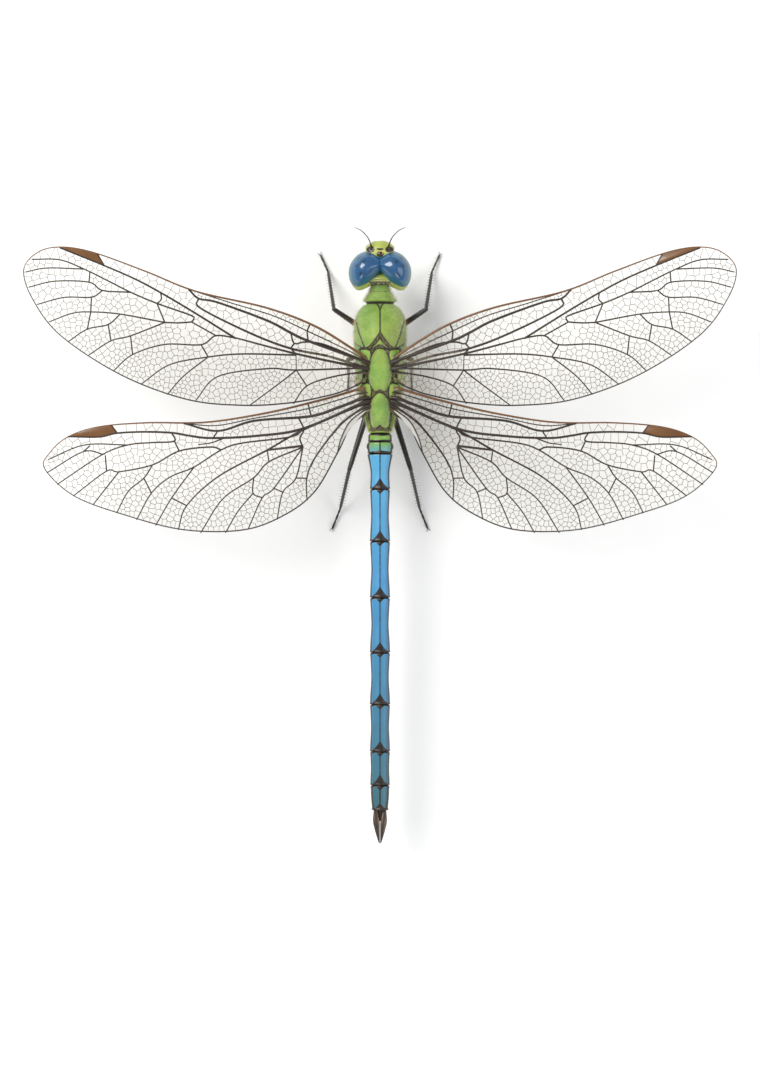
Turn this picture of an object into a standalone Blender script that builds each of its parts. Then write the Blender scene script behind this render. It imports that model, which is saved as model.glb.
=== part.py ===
"""A life-size hawker dragonfly, standing on its six feet with its wings spread flat.

The body lies along Y with the head at +Y, Z is up, and the origin is on the floor under the middle
of the animal. Sizes are in millimetres in the tables below and become metres through MM.
Every pair of parts is written once, for the +X side, and built again with side = -1.
"""

import math

import bmesh
import bpy
from mathutils import Matrix, Vector

MM = 0.001
GAP = 0.1  # left between two parts that meet
RIGHT_AND_LEFT = ((1, "right"), (-1, "left"))
ACROSS, AHEAD, UP = Vector((1, 0, 0)), Vector((0, 1, 0)), Vector((0, 0, 1))

# Wings: the plate's thickness, and how many strips it has along the span and across the chord.
WING_THICKNESS = 0.5
WING_STRIPS = (20, 5)
WING_LINE_STEPS = 190
# Each wing lies in its own frame: the hinge at its origin, span outwards, chord forwards.
# hinge is the place of that origin on the body; sweep turns the wing forwards and rise lifts its tip.
# lead and trail are the front and rear edges, from the root to the same tip.
WINGS = {
    "forewing": {
        "hinge": (2.56, 27.2, 14.9),
        "sweep": 15.2,
        "rise": 3.5,
        "camber": 0.55,
        "lead": (
            (0.0, 1.3), (2.6, 2.2), (9.4, 4.1), (17.6, 4.85), (29.0, 4.4), (37.6, 5.35),
            (46.5, 6.05), (51.8, 5.45), (55.0, 3.6), (56.45, 0.4),
        ),
        "trail": (
            (-0.3, -2.7), (1.2, -4.0), (4.0, -5.9), (9.9, -8.8), (17.2, -11.2), (26.0, -12.6),
            (37.0, -11.6), (47.9, -8.1), (53.7, -3.7), (56.45, 0.4),
        ),
    },
    "hindwing": {
        "hinge": (2.56, 21.76, 14.3),
        "sweep": -11.7,
        "rise": 1.5,
        "camber": 0.6,
        "lead": (
            (-0.3, 2.0), (2.7, 1.7), (6.9, 1.4), (15.8, 1.15), (25.5, 1.65), (34.9, 3.5),
            (42.5, 4.4), (47.6, 3.8), (50.9, 1.9), (52.35, -0.4),
        ),
        "trail": (
            (0.0, -1.9), (3.1, -3.9), (5.8, -7.3), (10.8, -12.8), (16.5, -15.5), (23.3, -16.4),
            (32.6, -14.4), (41.6, -10.0), (48.5, -5.6), (52.35, -0.4),
        ),
    },
}

# Thorax cross-sections, front to back: y, half width, lowest z, highest z.
THORAX = (
    (37.5, 1.7, 8.8, 12.5),
    (36.95, 2.75, 7.4, 13.7),
    (35.6, 3.75, 6.3, 14.8),
    (33.5, 4.15, 5.7, 15.7),
    (31.0, 4.15, 5.4, 16.2),
    (28.5, 4.0, 5.4, 16.2),
    (26.0, 3.9, 5.7, 15.9),
    (23.5, 3.6, 6.3, 15.8),
    (21.0, 3.0, 7.2, 15.4),
    (19.0, 2.4, 8.3, 14.9),
    (17.4, 2.05, 9.5, 14.3),
    (16.6, 1.85, 10.2, 13.9),
)
THORAX_SIDES = 28
THORAX_POWER = 2.4  # 2 is an ellipse, more is squarer
THORAX_PINCH = 0.3  # how much narrower the back is than the flanks, between the wings
PROTHORAX = (
    (40.2, 1.5, 10.4, 12.6),
    (39.45, 1.5, 10.0, 12.8),
    (38.75, 1.85, 9.5, 13.1),
    (38.1, 2.35, 9.1, 13.5),
    (37.7, 2.5, 9.0, 13.4),
)
PROTHORAX_SIDES, PROTHORAX_POWER, PROTHORAX_PINCH = 16, 2.2, 0.1

# Abdomen: where each segment starts, front to back, and where the last one ends.
ABDOMEN_JOINTS = (16.5, 15.2, 13.3, 7.6, -0.8, -9.85, -18.7, -27.05, -34.65, -40.1, -44.25)
# Half widths of each segment at its front edge, its waist and its flared rear edge.
ABDOMEN_WIDTHS = (
    (1.8, 1.9, 1.95),
    (1.98, 2.06, 2.02),
    (1.98, 1.55, 1.62),
    (1.58, 1.44, 1.64),
    (1.58, 1.42, 1.64),
    (1.58, 1.42, 1.66),
    (1.58, 1.44, 1.66),
    (1.60, 1.48, 1.66),
    (1.58, 1.50, 1.62),
    (1.52, 1.46, 1.36),
)
# Places of the cross-sections along a segment, as a share of its length, and which width each takes.
ABDOMEN_RINGS = ((0.0, "front", 0.95), (0.08, "front", 1.0), (0.5, "waist", 1.0), (0.88, "rear", 0.97),
                 (0.97, "rear", 1.0), (1.0, "rear", 0.93))
ABDOMEN_SIDES, ABDOMEN_POWER = 18, 2.1
ABDOMEN_HEIGHT = (0.92, 0.8)  # back and belly heights, as a share of the half width
ABDOMEN_START_Z = 12.1
ABDOMEN_SLOPE, ABDOMEN_CURVE = 0.020, 0.0004

# Tail appendages: two leaf-shaped upper ones that meet in a point, and a short lower one.
CERCUS_RINGS = ((0.0, 0.34), (0.25, 0.52), (0.55, 0.52), (0.8, 0.36), (0.95, 0.17), (1.0, 0.07))
CERCUS_LENGTH, CERCUS_THICKNESS = 5.35, 0.5
CERCUS_ROOT_X, CERCUS_TIP_X = 0.72, 0.2
CERCUS_LIFT = 0.35  # over the abdomen's middle line
EPIPROCT_RINGS = ((0.0, 0.8), (0.4, 0.66), (0.8, 0.45), (1.0, 0.2))
EPIPROCT_LENGTH, EPIPROCT_THICKNESS = 1.9, 0.6
EPIPROCT_DROP, EPIPROCT_RISE = 0.55, 0.15  # how far its root is under that line, and its tip over its root
APPENDAGE_SIDES, APPENDAGE_POWER = 10, 2.2

# Head. Each eye is a dome over and under its widest outline, which is seen from above. The outline runs
# past the mid-plane, where the two eyes are cut flat against each other.
EYE_OUTLINE = (
    (2.0, 45.82), (3.3, 45.37), (4.2, 44.57), (4.85, 43.47), (5.04, 42.15), (4.77, 40.9),
    (4.16, 40.1), (3.4, 39.9), (2.5, 40.2), (1.5, 40.8), (0.7, 41.5), (0.0, 42.2),
    (-0.7, 42.8), (-1.2, 43.65), (-0.8, 44.55), (0.1, 45.27), (0.9, 45.72),
)
EYE_CENTRE, EYE_HALF_HEIGHT = (2.35, 42.86, 12.2), 3.8
EYE_LEVELS = 11
# Skull and face plates, stacked upwards. Each row is a level section: z, half width, rear y, front y.
HEAD_PLATES = {
    "labium": (
        (7.9, 1.3, 42.2, 44.9), (8.1, 1.7, 41.8, 45.4), (8.5, 1.95, 41.5, 45.6), (8.85, 1.85, 41.5, 45.5),
    ),
    "labrum": (
        (8.95, 1.3, 44.4, 45.7), (9.3, 1.7, 44.4, 46.3), (9.8, 1.9, 44.4, 46.55), (10.2, 1.8, 44.4, 46.4),
    ),
    "clypeus": (
        (10.3, 1.95, 44.4, 46.4), (10.7, 2.1, 44.4, 46.8), (11.3, 2.2, 44.4, 47.0), (11.8, 2.1, 44.4, 46.9),
    ),
    "frons": (
        (11.9, 2.15, 44.4, 46.95), (12.5, 2.25, 44.4, 47.2), (13.3, 2.25, 44.4, 47.2),
        (14.0, 2.1, 44.4, 46.9), (14.4, 1.6, 44.4, 46.2),
    ),
    "head": (
        (8.95, 1.9, 41.3, 44.3), (9.8, 2.7, 40.7, 44.3), (11.5, 3.2, 40.3, 44.3),
        (13.4, 2.8, 40.3, 44.3), (14.4, 1.9, 40.5, 43.4), (14.9, 1.2, 40.9, 42.2),
    ),
}
HEAD_PLATE_SIDES, HEAD_PLATE_POWER = 18, 2.8
# Feelers: two stout joints and a bristle, as centre-line points and radii.
ANTENNA = (
    ((1.35, 45.8, 13.9), 0.34),
    ((1.42, 46.4, 14.6), 0.3),
    ((1.62, 47.1, 15.0), 0.26),
    ((2.1, 47.95, 15.2), 0.25),
    ((3.0, 48.85, 15.2), 0.25),
    ((4.1, 49.4, 15.0), 0.25),
)

# Legs, +X side: hip under the thorax, then the femur's start, knee, ankle and toe.
LEGS = {
    "front": (
        (1.45, 32.8, 6.4), (2.05, 33.2, 5.1), (7.44, 36.7, 7.2), (8.48, 43.2, 0.75), (9.9, 46.35, 0.25),
    ),
    "middle": ((1.6, 29.9, 6.3), (2.3, 29.7, 5.0), (5.15, 28.5, 8.8), (5.1, 26.2, 0.75), (5.3, 23.6, 0.25)),
    "hind": ((1.25, 23.4, 7.0), (1.35, 22.4, 5.6), (4.96, 10.8, 7.2), (6.49, 4.5, 0.75), (7.97, 0.8, 0.25)),
}
COXA_RADII = (0.95, 0.85, 0.6)
FEMUR_RADII = (0.5, 0.46, 0.38)
TIBIA_RADII = (0.33, 0.27)
TARSUS_RADII = (0.28, 0.27, 0.25)
LIMB_SIDES = 8
# As shares of a tarsus's length: where it comes down level, and where its claw end is rounded off.
TARSUS_LEVEL, TARSUS_ROUNDING = 0.45, 0.9
TARSUS_TIP = 0.6  # the end's radius, as a share of the last one
SOLE_DEPTH = 0.05  # how much of a toe is cut away to make its flat
# The rounded end of a leg joint: steps past its end, in radii, and its radius there as a share.
ROUND_END = ((0.0, 0.92), (0.5, 0.72), (0.8, 0.4))
ROUND_END_REACH = 1.4  # the straight part stops this many radii before the end


def clear_scene():
    for obj in list(bpy.data.objects):
        bpy.data.objects.remove(obj)


def finish(name, colour, roughness):
    """One plain finish, a Principled BSDF."""
    made = bpy.data.materials.new(name)
    made.use_nodes = True
    shader = made.node_tree.nodes["Principled BSDF"]
    shader.inputs["Base Color"].default_value = (*colour, 1)
    shader.inputs["Roughness"].default_value = roughness
    shader.inputs["Metallic"].default_value = 0
    return made


def add_part(name, bm, material, at=(0, 0, 0), turn=None):
    """Turns a finished bmesh, in millimetres, into a named object under the animal's empty."""
    bmesh.ops.recalc_face_normals(bm, faces=bm.faces)
    bm.transform(Matrix.Scale(MM, 4))
    mesh = bpy.data.meshes.new(name)
    bm.to_mesh(mesh)
    bm.free()
    mesh.materials.append(material)
    mesh.shade_smooth()
    mesh.set_sharp_from_angle(angle=math.radians(40))
    part = bpy.data.objects.new(name, mesh)
    bpy.context.scene.collection.objects.link(part)
    part.location = Vector(at) * MM
    if turn is not None:
        part.rotation_mode = "QUATERNION"
        part.rotation_quaternion = turn
    part.parent = bpy.data.objects["dragonfly"]
    return part


def swollen_copy(part, gap):
    """A hidden cutter: the same part with its surface moved outwards by the gap."""
    cutter = part.copy()
    cutter.name = "cutter_" + part.name
    cutter.data = part.data.copy()
    cutter.modifiers.clear()
    bm = bmesh.new()
    bm.from_mesh(cutter.data)
    bm.normal_update()
    moves = [(vert, vert.normal.copy()) for vert in bm.verts]
    for vert, normal in moves:
        vert.co += normal * gap * MM
    bm.to_mesh(cutter.data)
    bm.free()
    cutter.hide_render = True
    cutter.display_type = "WIRE"
    bpy.context.scene.collection.objects.link(cutter)
    return cutter


def fit_round(part, *neighbours):
    """Cuts a part back so that it meets each neighbour with the gap between them."""
    for neighbour in neighbours:
        cutter = bpy.data.objects.get("cutter_" + neighbour.name) or swollen_copy(neighbour, GAP)
        cut = part.modifiers.new("clear of " + neighbour.name, "BOOLEAN")
        cut.operation = "DIFFERENCE"
        cut.object = cutter


def oval_points(centre, across, up, half_width, top, bottom, power, sides):
    """A closed cross-section: an oval with its own height above and below, squarer as power rises."""
    points = []
    for step in range(sides):
        angle = 2 * math.pi * (step + 0.5) / sides
        c, s = math.cos(angle), math.sin(angle)
        reach = math.copysign(abs(c) ** (2 / power), c) * half_width
        height = math.copysign(abs(s) ** (2 / power), s) * (top if s > 0 else bottom)
        points.append(centre + across * reach + up * height)
    return points


def loft(sections):
    """A bmesh skinned over closed cross-sections that have equal numbers of points."""
    bm = bmesh.new()
    rings = []
    for index, points in enumerate(sections):
        at_end = index in (0, len(sections) - 1)
        made = bmesh.ops.create_circle(bm, cap_ends=at_end, segments=len(points), radius=1)
        for vert, point in zip(made["verts"], points):
            vert.co = point
        ring = set(made["verts"])
        rings.append([edge for edge in bm.edges if set(edge.verts) <= ring])
    for one, other in zip(rings, rings[1:]):
        bmesh.ops.bridge_loops(bm, edges=one + other)
    return bm


def through(points, count):
    """Evenly timed samples of a smooth curve through the given points."""
    points = [Vector(p) for p in points]
    ends = [2 * points[0] - points[1], *points, 2 * points[-1] - points[-2]]
    samples = []
    for step in range(count + 1):
        place = step / count * (len(points) - 1)
        first = min(int(place), len(points) - 2)
        t = place - first
        a, b, c, d = ends[first : first + 4]
        samples.append(
            0.5 * (2 * b + (c - a) * t + (2 * a - 5 * b + 4 * c - d) * t**2 + (3 * b - a - 3 * c + d) * t**3)
        )
    return samples


def evenly(points, count):
    """The same curve sampled at equal steps of its length."""
    fine = through(points, 400)
    lengths = [0.0]
    for one, other in zip(fine, fine[1:]):
        lengths.append(lengths[-1] + (other - one).length)
    samples, index = [], 0
    for step in range(count + 1):
        wanted = lengths[-1] * step / count
        while index < len(fine) - 2 and lengths[index + 1] < wanted:
            index += 1
        span = lengths[index + 1] - lengths[index]
        samples.append(fine[index].lerp(fine[index + 1], (wanted - lengths[index]) / span))
    return samples


def wing_edges(plan):
    """The front and rear edges, root to tip, cut from one smooth line that runs round the tip."""
    line = through((*plan["lead"], *plan["trail"][-2::-1]), WING_LINE_STEPS)
    tip = max(range(len(line)), key=lambda index: line[index].x)
    return evenly(line[: tip + 1], WING_STRIPS[0]), evenly(line[:tip - 1 : -1], WING_STRIPS[0])


def make_wing(kind, side, word, material, thorax):
    """A thin cambered plate between the wing's two edges, cut back where it meets the thorax."""
    plan = WINGS[kind]
    strips, bands = WING_STRIPS
    lead, trail = wing_edges(plan)
    bm = bmesh.new()
    bmesh.ops.create_grid(bm, x_segments=strips, y_segments=bands, size=0.5)
    for vert in bm.verts:
        station, share = round((vert.co.x + 0.5) * strips), vert.co.y + 0.5
        place = lead[station].lerp(trail[station], share)
        along = min(1, station / strips + 0.2)
        arch = plan["camber"] * math.sin(math.pi * share) * math.sin(math.pi * along)
        vert.co = (side * place.x, place.y, arch)
    bmesh.ops.remove_doubles(bm, verts=bm.verts, dist=1e-4)
    bmesh.ops.recalc_face_normals(bm, faces=bm.faces)
    x, y, z = plan["hinge"]
    turn = (
        Matrix.Rotation(math.radians(side * plan["sweep"]), 4, "Z")
        @ Matrix.Rotation(math.radians(-side * plan["rise"]), 4, "Y")
    ).to_quaternion()
    wing = add_part(f"{kind}_{word}", bm, material, (side * x, y, z), turn)
    plate = wing.modifiers.new("thickness", "SOLIDIFY")
    plate.thickness = WING_THICKNESS * MM
    plate.offset = 0
    fit_round(wing, thorax)


def body_sections(table, sides, power, pinch):
    """Cross-sections of a body part from rows of y, half width, lowest and highest z."""
    sections = []
    for y, half_width, low, high in table:
        middle, half_height = (low + high) / 2, (high - low) / 2
        centre = Vector((0, y, middle))
        points = oval_points(centre, ACROSS, UP, half_width, half_height, half_height, power, sides)
        for point in points:
            above = max(0, (point.z - middle) / half_height)
            point.x *= 1 - pinch * above**2
        sections.append(points)
    return sections


def make_trunk(material):
    sections = body_sections(THORAX, THORAX_SIDES, THORAX_POWER, THORAX_PINCH)
    thorax = add_part("thorax", loft(sections), material)
    sections = body_sections(PROTHORAX, PROTHORAX_SIDES, PROTHORAX_POWER, PROTHORAX_PINCH)
    prothorax = add_part("prothorax", loft(sections), material)
    fit_round(prothorax, thorax)
    return thorax


def abdomen_z(y):
    """Height of the abdomen's middle line: it starts level with the thorax and droops a little."""
    back = ABDOMEN_JOINTS[0] - y
    return ABDOMEN_START_Z - ABDOMEN_SLOPE * back - ABDOMEN_CURVE * back**2


def make_abdomen(material):
    for number, (start, end) in enumerate(zip(ABDOMEN_JOINTS, ABDOMEN_JOINTS[1:])):
        end += GAP
        front, waist, rear = ABDOMEN_WIDTHS[number]
        widths = {"front": front, "waist": waist, "rear": rear}
        origin = Vector((0, start, abdomen_z(start)))
        sections = []
        for share, which, scale in ABDOMEN_RINGS:
            y = start + (end - start) * share
            half_width = widths[which] * scale
            back, belly = (half_width * ratio for ratio in ABDOMEN_HEIGHT)
            centre = Vector((0, y, abdomen_z(y))) - origin
            ring = oval_points(centre, ACROSS, UP, half_width, back, belly, ABDOMEN_POWER, ABDOMEN_SIDES)
            sections.append(ring)
        add_part(f"abdomen_{number + 1:02d}", loft(sections), material, origin)


def leaf_section(centre, half_width, thickness):
    """A flat oval across one of the tail's appendages."""
    half = thickness / 2
    return oval_points(centre, ACROSS, UP, half_width, half, half, APPENDAGE_POWER, APPENDAGE_SIDES)


def make_appendages(material):
    start = ABDOMEN_JOINTS[-1]
    z = abdomen_z(start)
    for side, word in RIGHT_AND_LEFT:
        sections = []
        for share, half_width in CERCUS_RINGS:
            x = CERCUS_ROOT_X + (CERCUS_TIP_X - CERCUS_ROOT_X) * share**1.5
            centre = Vector((side * x, start - CERCUS_LENGTH * share, z + CERCUS_LIFT))
            thickness = CERCUS_THICKNESS * (1 - 0.4 * share)
            sections.append(leaf_section(centre, min(half_width, x - GAP / 2), thickness))
        add_part(f"cercus_{word}", loft(sections), material)
    sections = []
    for share, half_width in EPIPROCT_RINGS:
        centre = Vector((0, start - EPIPROCT_LENGTH * share, z - EPIPROCT_DROP + EPIPROCT_RISE * share))
        sections.append(leaf_section(centre, half_width, EPIPROCT_THICKNESS))
    add_part("epiproct", loft(sections), material)


def eye_dome(side):
    """A bmesh of one whole eye: its outline, shrunk towards the centre over and under its widest level."""
    x, y, middle = EYE_CENTRE
    sections = []
    for step in range(EYE_LEVELS):
        climb = math.pi * (step + 0.5) / EYE_LEVELS - math.pi / 2
        centre = Vector((x, y, middle + EYE_HALF_HEIGHT * math.sin(climb)))
        ring = [centre + Vector((px - x, py - y, 0)) * math.cos(climb) for px, py in EYE_OUTLINE]
        sections.append([Vector((side * point.x, point.y, point.z)) for point in ring])
    return loft(sections)


def cut_at_seam(bm, side):
    """Keeps the part of an eye that lies beyond the seam between the eyes, and closes the cut."""
    geometry = bm.verts[:] + bm.edges[:] + bm.faces[:]
    cut = bmesh.ops.bisect_plane(
        bm, geom=geometry, plane_co=(side * GAP / 2, 0, 0), plane_no=(-side, 0, 0), clear_outer=True
    )
    rim = [item for item in cut["geom_cut"] if isinstance(item, bmesh.types.BMEdge)]
    bmesh.ops.contextual_create(bm, geom=rim)


def make_head(material, eye_material):
    """Eyes first; the skull and the face plates are then cut to fit between them."""
    eyes, plates = [], []
    for side, word in RIGHT_AND_LEFT:
        bm = eye_dome(side)
        cut_at_seam(bm, side)
        eyes.append(add_part(f"eye_{word}", bm, eye_material))
    for name, rows in HEAD_PLATES.items():
        sections = []
        for z, half_width, rear, front in rows:
            half_depth = (front - rear) / 2
            middle = Vector((0, rear + half_depth, z))
            ring = oval_points(
                middle, ACROSS, AHEAD, half_width, half_depth, half_depth, HEAD_PLATE_POWER, HEAD_PLATE_SIDES
            )
            sections.append(ring)
        plate = add_part(name, loft(sections), material)
        fit_round(plate, *eyes)
        plates.append(plate)
    return plates + eyes


def round_section(centre, along, radius):
    """A circle across a limb."""
    across = along.cross(UP).normalized()
    return oval_points(centre, across, across.cross(along).normalized(), radius, radius, radius, 2, LIMB_SIDES)


def limb(name, points, radii, material):
    """A tapered limb on a centre line. Each section stands across the line's direction there."""
    sections = []
    for index, (point, radius) in enumerate(zip(points, radii)):
        along = points[min(index + 1, len(points) - 1)] - points[max(index - 1, 0)]
        sections.append(round_section(point, along.normalized(), radius))
    return add_part(name, loft(sections), material)


def make_antennae(material, head_parts):
    for side, word in RIGHT_AND_LEFT:
        points = [Vector((side * x, y, z)) for (x, y, z), _ in ANTENNA]
        radii = [radius for _, radius in ANTENNA]
        feeler = limb(f"antenna_{word}", points, radii, material)
        fit_round(feeler, *head_parts)


def knuckle(start, end, radii):
    """Centre line and radii of a leg joint with a rounded far end, which its neighbour turns round."""
    length, radius = (end - start).length, radii[-1]
    straight = 1 - ROUND_END_REACH * radius / length
    places = [(straight * index / (len(radii) - 1), r) for index, r in enumerate(radii)]
    places += [(1 + step * radius / length, radius * scale) for step, scale in ROUND_END]
    return [start.lerp(end, share) for share, _ in places], [r for _, r in places]


def make_tarsus(name, ankle, toe, material):
    """The foot lies along the floor. Its underside is cut off level at z = 0, so that it stands on a flat."""
    shares = (0.0, TARSUS_LEVEL, TARSUS_ROUNDING, 1.0)
    radii = (*TARSUS_RADII, TARSUS_RADII[-1] * TARSUS_TIP)
    low = toe.z - SOLE_DEPTH
    points = []
    for share in shares:
        point = ankle.lerp(toe, share)
        point.z = low + (ankle.z - low) * (1 - min(1, share / TARSUS_LEVEL)) ** 1.5
        points.append(point)
    foot = limb(name, points, radii, material)
    bm = bmesh.new()
    bm.from_mesh(foot.data)
    geometry = bm.verts[:] + bm.edges[:] + bm.faces[:]
    cut = bmesh.ops.bisect_plane(
        bm, geom=geometry, plane_co=(0, 0, 0), plane_no=(0, 0, -1), clear_outer=True
    )
    rim = [item for item in cut["geom_cut"] if isinstance(item, bmesh.types.BMEdge)]
    bmesh.ops.contextual_create(bm, geom=rim)
    bm.to_mesh(foot.data)
    bm.free()
    return foot


def make_legs(material, thorax):
    for side, word in RIGHT_AND_LEFT:
        for pair, joints in LEGS.items():
            hip, start, knee, ankle, toe = (Vector((side * x, y, z)) for x, y, z in joints)
            label = f"{pair}_{word}"
            coxa = limb(f"coxa_{label}", [hip, hip.lerp(start, 0.6), start], COXA_RADII, material)
            points, radii = knuckle(start, knee, FEMUR_RADII)
            femur = limb(f"femur_{label}", points, radii, material)
            points, radii = knuckle(knee, ankle, TIBIA_RADII)
            tibia = limb(f"tibia_{label}", points, radii, material)
            tarsus = make_tarsus(f"tarsus_{label}", ankle, toe, material)
            fit_round(coxa, thorax)
            fit_round(femur, coxa)
            fit_round(tibia, femur)
            fit_round(tarsus, tibia)


def build():
    clear_scene()
    animal = bpy.data.objects.new("dragonfly", None)
    bpy.context.scene.collection.objects.link(animal)
    green = finish("thorax_green", (0.18, 0.42, 0.08), 0.5)
    blue = finish("abdomen_blue", (0.03, 0.22, 0.55), 0.4)
    face = finish("face_green", (0.35, 0.48, 0.08), 0.35)
    eye = finish("eye_blue_green", (0.02, 0.16, 0.20), 0.12)
    black = finish("limb_black", (0.02, 0.014, 0.01), 0.35)
    pane = finish("wing_membrane", (0.75, 0.72, 0.6), 0.15)
    thorax = make_trunk(green)
    make_abdomen(blue)
    make_appendages(black)
    make_antennae(black, make_head(face, eye))
    make_legs(black, thorax)
    for side, word in RIGHT_AND_LEFT:
        for kind in WINGS:
            make_wing(kind, side, word, pane, thorax)


build()
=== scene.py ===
# %% [markdown]
# # A hawker dragonfly
#
# This lesson dresses a plain solid model of a dragonfly, part by part. An insect has no skin to stretch:
# it wears hard plates with soft folds between them, so most pieces here are shells with a clear edge.
# The solids give every place and size. The wings come first, because they are the largest thing in view.

# %% Load the frame
import math
import random

import bmesh
import bpy
import numpy as np
from mathutils import Matrix, Vector
from mathutils.geometry import delaunay_2d_cdt


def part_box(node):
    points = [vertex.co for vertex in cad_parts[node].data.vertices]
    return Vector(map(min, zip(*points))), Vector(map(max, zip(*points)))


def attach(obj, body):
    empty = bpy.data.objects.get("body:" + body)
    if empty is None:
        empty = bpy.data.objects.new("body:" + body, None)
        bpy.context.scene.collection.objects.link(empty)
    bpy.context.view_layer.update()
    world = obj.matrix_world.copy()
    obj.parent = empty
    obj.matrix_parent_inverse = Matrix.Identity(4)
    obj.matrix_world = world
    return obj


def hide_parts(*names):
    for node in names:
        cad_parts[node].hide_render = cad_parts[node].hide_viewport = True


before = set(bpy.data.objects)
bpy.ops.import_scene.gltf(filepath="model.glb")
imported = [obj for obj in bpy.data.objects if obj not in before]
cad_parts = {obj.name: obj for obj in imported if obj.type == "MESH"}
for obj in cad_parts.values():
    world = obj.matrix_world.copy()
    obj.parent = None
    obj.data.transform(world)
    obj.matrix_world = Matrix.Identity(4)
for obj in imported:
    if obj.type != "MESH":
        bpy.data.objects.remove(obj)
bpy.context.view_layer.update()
MM = 0.001
RIGHT_AND_LEFT = ((1, "right"), (-1, "left"))

# %% [markdown]
# ## Camera, floor and light
#
# A specimen is best seen from straight above, with the head up. A long lens held far away keeps the wings
# as flat as a map. The floor is pale and plain, and broad lamps keep the shadows soft, so that the thin
# veins stay the darkest lines in view.

# %% Camera
LENS_MM, SENSOR_MM = 135, 36
VIEW_HEIGHT = 0.17216  # how much of the animal's length the view takes in, at the height of the wings
VIEW_Y = -0.3 * MM
WING_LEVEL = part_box("forewing_right")[0].z


def put_in_scene(name, data):
    """Makes an object and links it to the scene."""
    made = bpy.data.objects.new(name, data)
    bpy.context.scene.collection.objects.link(made)
    return made


camera_data = bpy.data.cameras.new("camera")
camera_data.lens, camera_data.sensor_width = LENS_MM, SENSOR_MM
camera_data.clip_start, camera_data.clip_end = 0.01, 10
camera = put_in_scene("camera", camera_data)
camera.location = (0, VIEW_Y, WING_LEVEL + VIEW_HEIGHT * LENS_MM / SENSOR_MM)
bpy.context.scene.camera = camera
bpy.context.scene.view_settings.view_transform = "Standard"
print("camera height in mm:", round(camera.location.z / MM))


# %% Shader helpers
def feed(node, inputs):
    """Fills a node's inputs: a socket is linked to, and any other value is set."""
    for key, value in inputs.items():
        if isinstance(value, bpy.types.NodeSocket):
            node.id_data.links.new(value, node.inputs[key])
        else:
            node.inputs[key].default_value = value


def wire(tree, kind, feeds=None, **options):
    """Adds a shader node with its options and inputs."""
    made = tree.nodes.new("ShaderNode" + kind)
    for option, value in options.items():
        setattr(made, option, value)
    feed(made, feeds or {})
    return made


# %% New finish
def new_finish(name, **constants):
    """A material with one Principled shader and its plain numbers, such as Roughness=0.4."""
    made = bpy.data.materials.new(name)
    made.use_nodes = True
    shader = made.node_tree.nodes["Principled BSDF"]
    feed(shader, {key.replace("_", " "): value for key, value in constants.items()})
    print("finish:", name)
    return made, made.node_tree, shader


# %% Colours and clouds
def ramp(tree, value, *stops):
    """Colours along a value. Each stop is a place from 0 to 1 and a colour."""
    made = wire(tree, "ValToRGB", {"Fac": value})
    elements = made.color_ramp.elements
    while len(elements) < len(stops):
        elements.new(0.5)
    for element, (place, colour) in zip(elements, sorted(stops)):
        element.position, element.color = place, (*colour, 1)
    return made.outputs["Color"]


def clouds(tree, scale, detail=2.0):
    """Soft noise that is fixed to the animal."""
    where = wire(tree, "TexCoord").outputs["Object"]
    return wire(tree, "TexNoise", {"Vector": where, "Scale": scale, "Detail": detail}).outputs["Fac"]


def cloudy_finish(name, scale, detail, *stops, **constants):
    """A finish whose colour is one ramp over soft noise."""
    made, tree, shader = new_finish(name, **constants)
    feed(shader, {"Base Color": ramp(tree, clouds(tree, scale, detail), *stops)})
    return made


# %% Piece helper
def face_out(bm):
    """Turns all faces of closed shapes outwards."""
    bmesh.ops.recalc_face_normals(bm, faces=bm.faces)


def as_mesh(name, bm):
    """Makes a mesh from a bmesh, and frees it."""
    mesh = bpy.data.meshes.new(name)
    bm.to_mesh(mesh)
    bm.free()
    return mesh


def add_piece(name, bm, finishes, nodes=(), smooth=60):
    """Turns a bmesh in millimetres into a piece that stands for some of the solids."""
    bm.transform(Matrix.Scale(MM, 4))
    return add_mesh(name, as_mesh(name, bm), finishes, nodes, smooth)


def add_mesh(name, mesh, finishes, nodes, smooth):
    """Makes a piece that rides on the frame from a mesh in metres."""
    for finish in finishes:
        mesh.materials.append(finish)
    mesh.shade_smooth()
    mesh.set_sharp_from_angle(angle=math.radians(smooth))
    piece = put_in_scene(name, mesh)
    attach(piece, "root")
    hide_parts(*nodes)
    print(f"{name}: {len(mesh.polygons)} faces")


# %% Floor and lamps
LAMPS = {  # where each square panel hangs, its size, watts and colour
    "key_lamp": ((-0.42, 0.38, 0.62), 0.45, 7.0, (1.0, 0.98, 0.95)),
    "fill_lamp": ((0.6, -0.1, 0.5), 0.6, 2.5, (0.93, 0.96, 1.0)),
    "tail_lamp": ((-0.1, -0.65, 0.4), 0.4, 1.6, (1.0, 0.99, 0.97)),
}
bm = bmesh.new()
bmesh.ops.create_grid(bm, x_segments=1, y_segments=1, size=1.5)
floor = put_in_scene("floor", as_mesh("floor", bm))
paper = new_finish("pale_floor", Roughness=0.9, Specular_IOR_Level=0.1, Base_Color=(0.86, 0.86, 0.85, 1))[0]
floor.data.materials.append(paper)
for name, (place, size, watts, colour) in LAMPS.items():
    lamp = bpy.data.lights.new(name, "AREA")
    lamp.size, lamp.energy, lamp.color = size, watts, colour
    holder = put_in_scene(name, lamp)
    holder.location, holder.rotation_mode = place, "QUATERNION"
    holder.rotation_quaternion = Vector(place).to_track_quat("Z", "Y")
room = bpy.data.worlds.new("room")
room.use_nodes = True
feed(room.node_tree.nodes["Background"], {"Color": (0.93, 0.95, 1.0, 1), "Strength": 0.42})
bpy.context.scene.world = room
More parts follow.
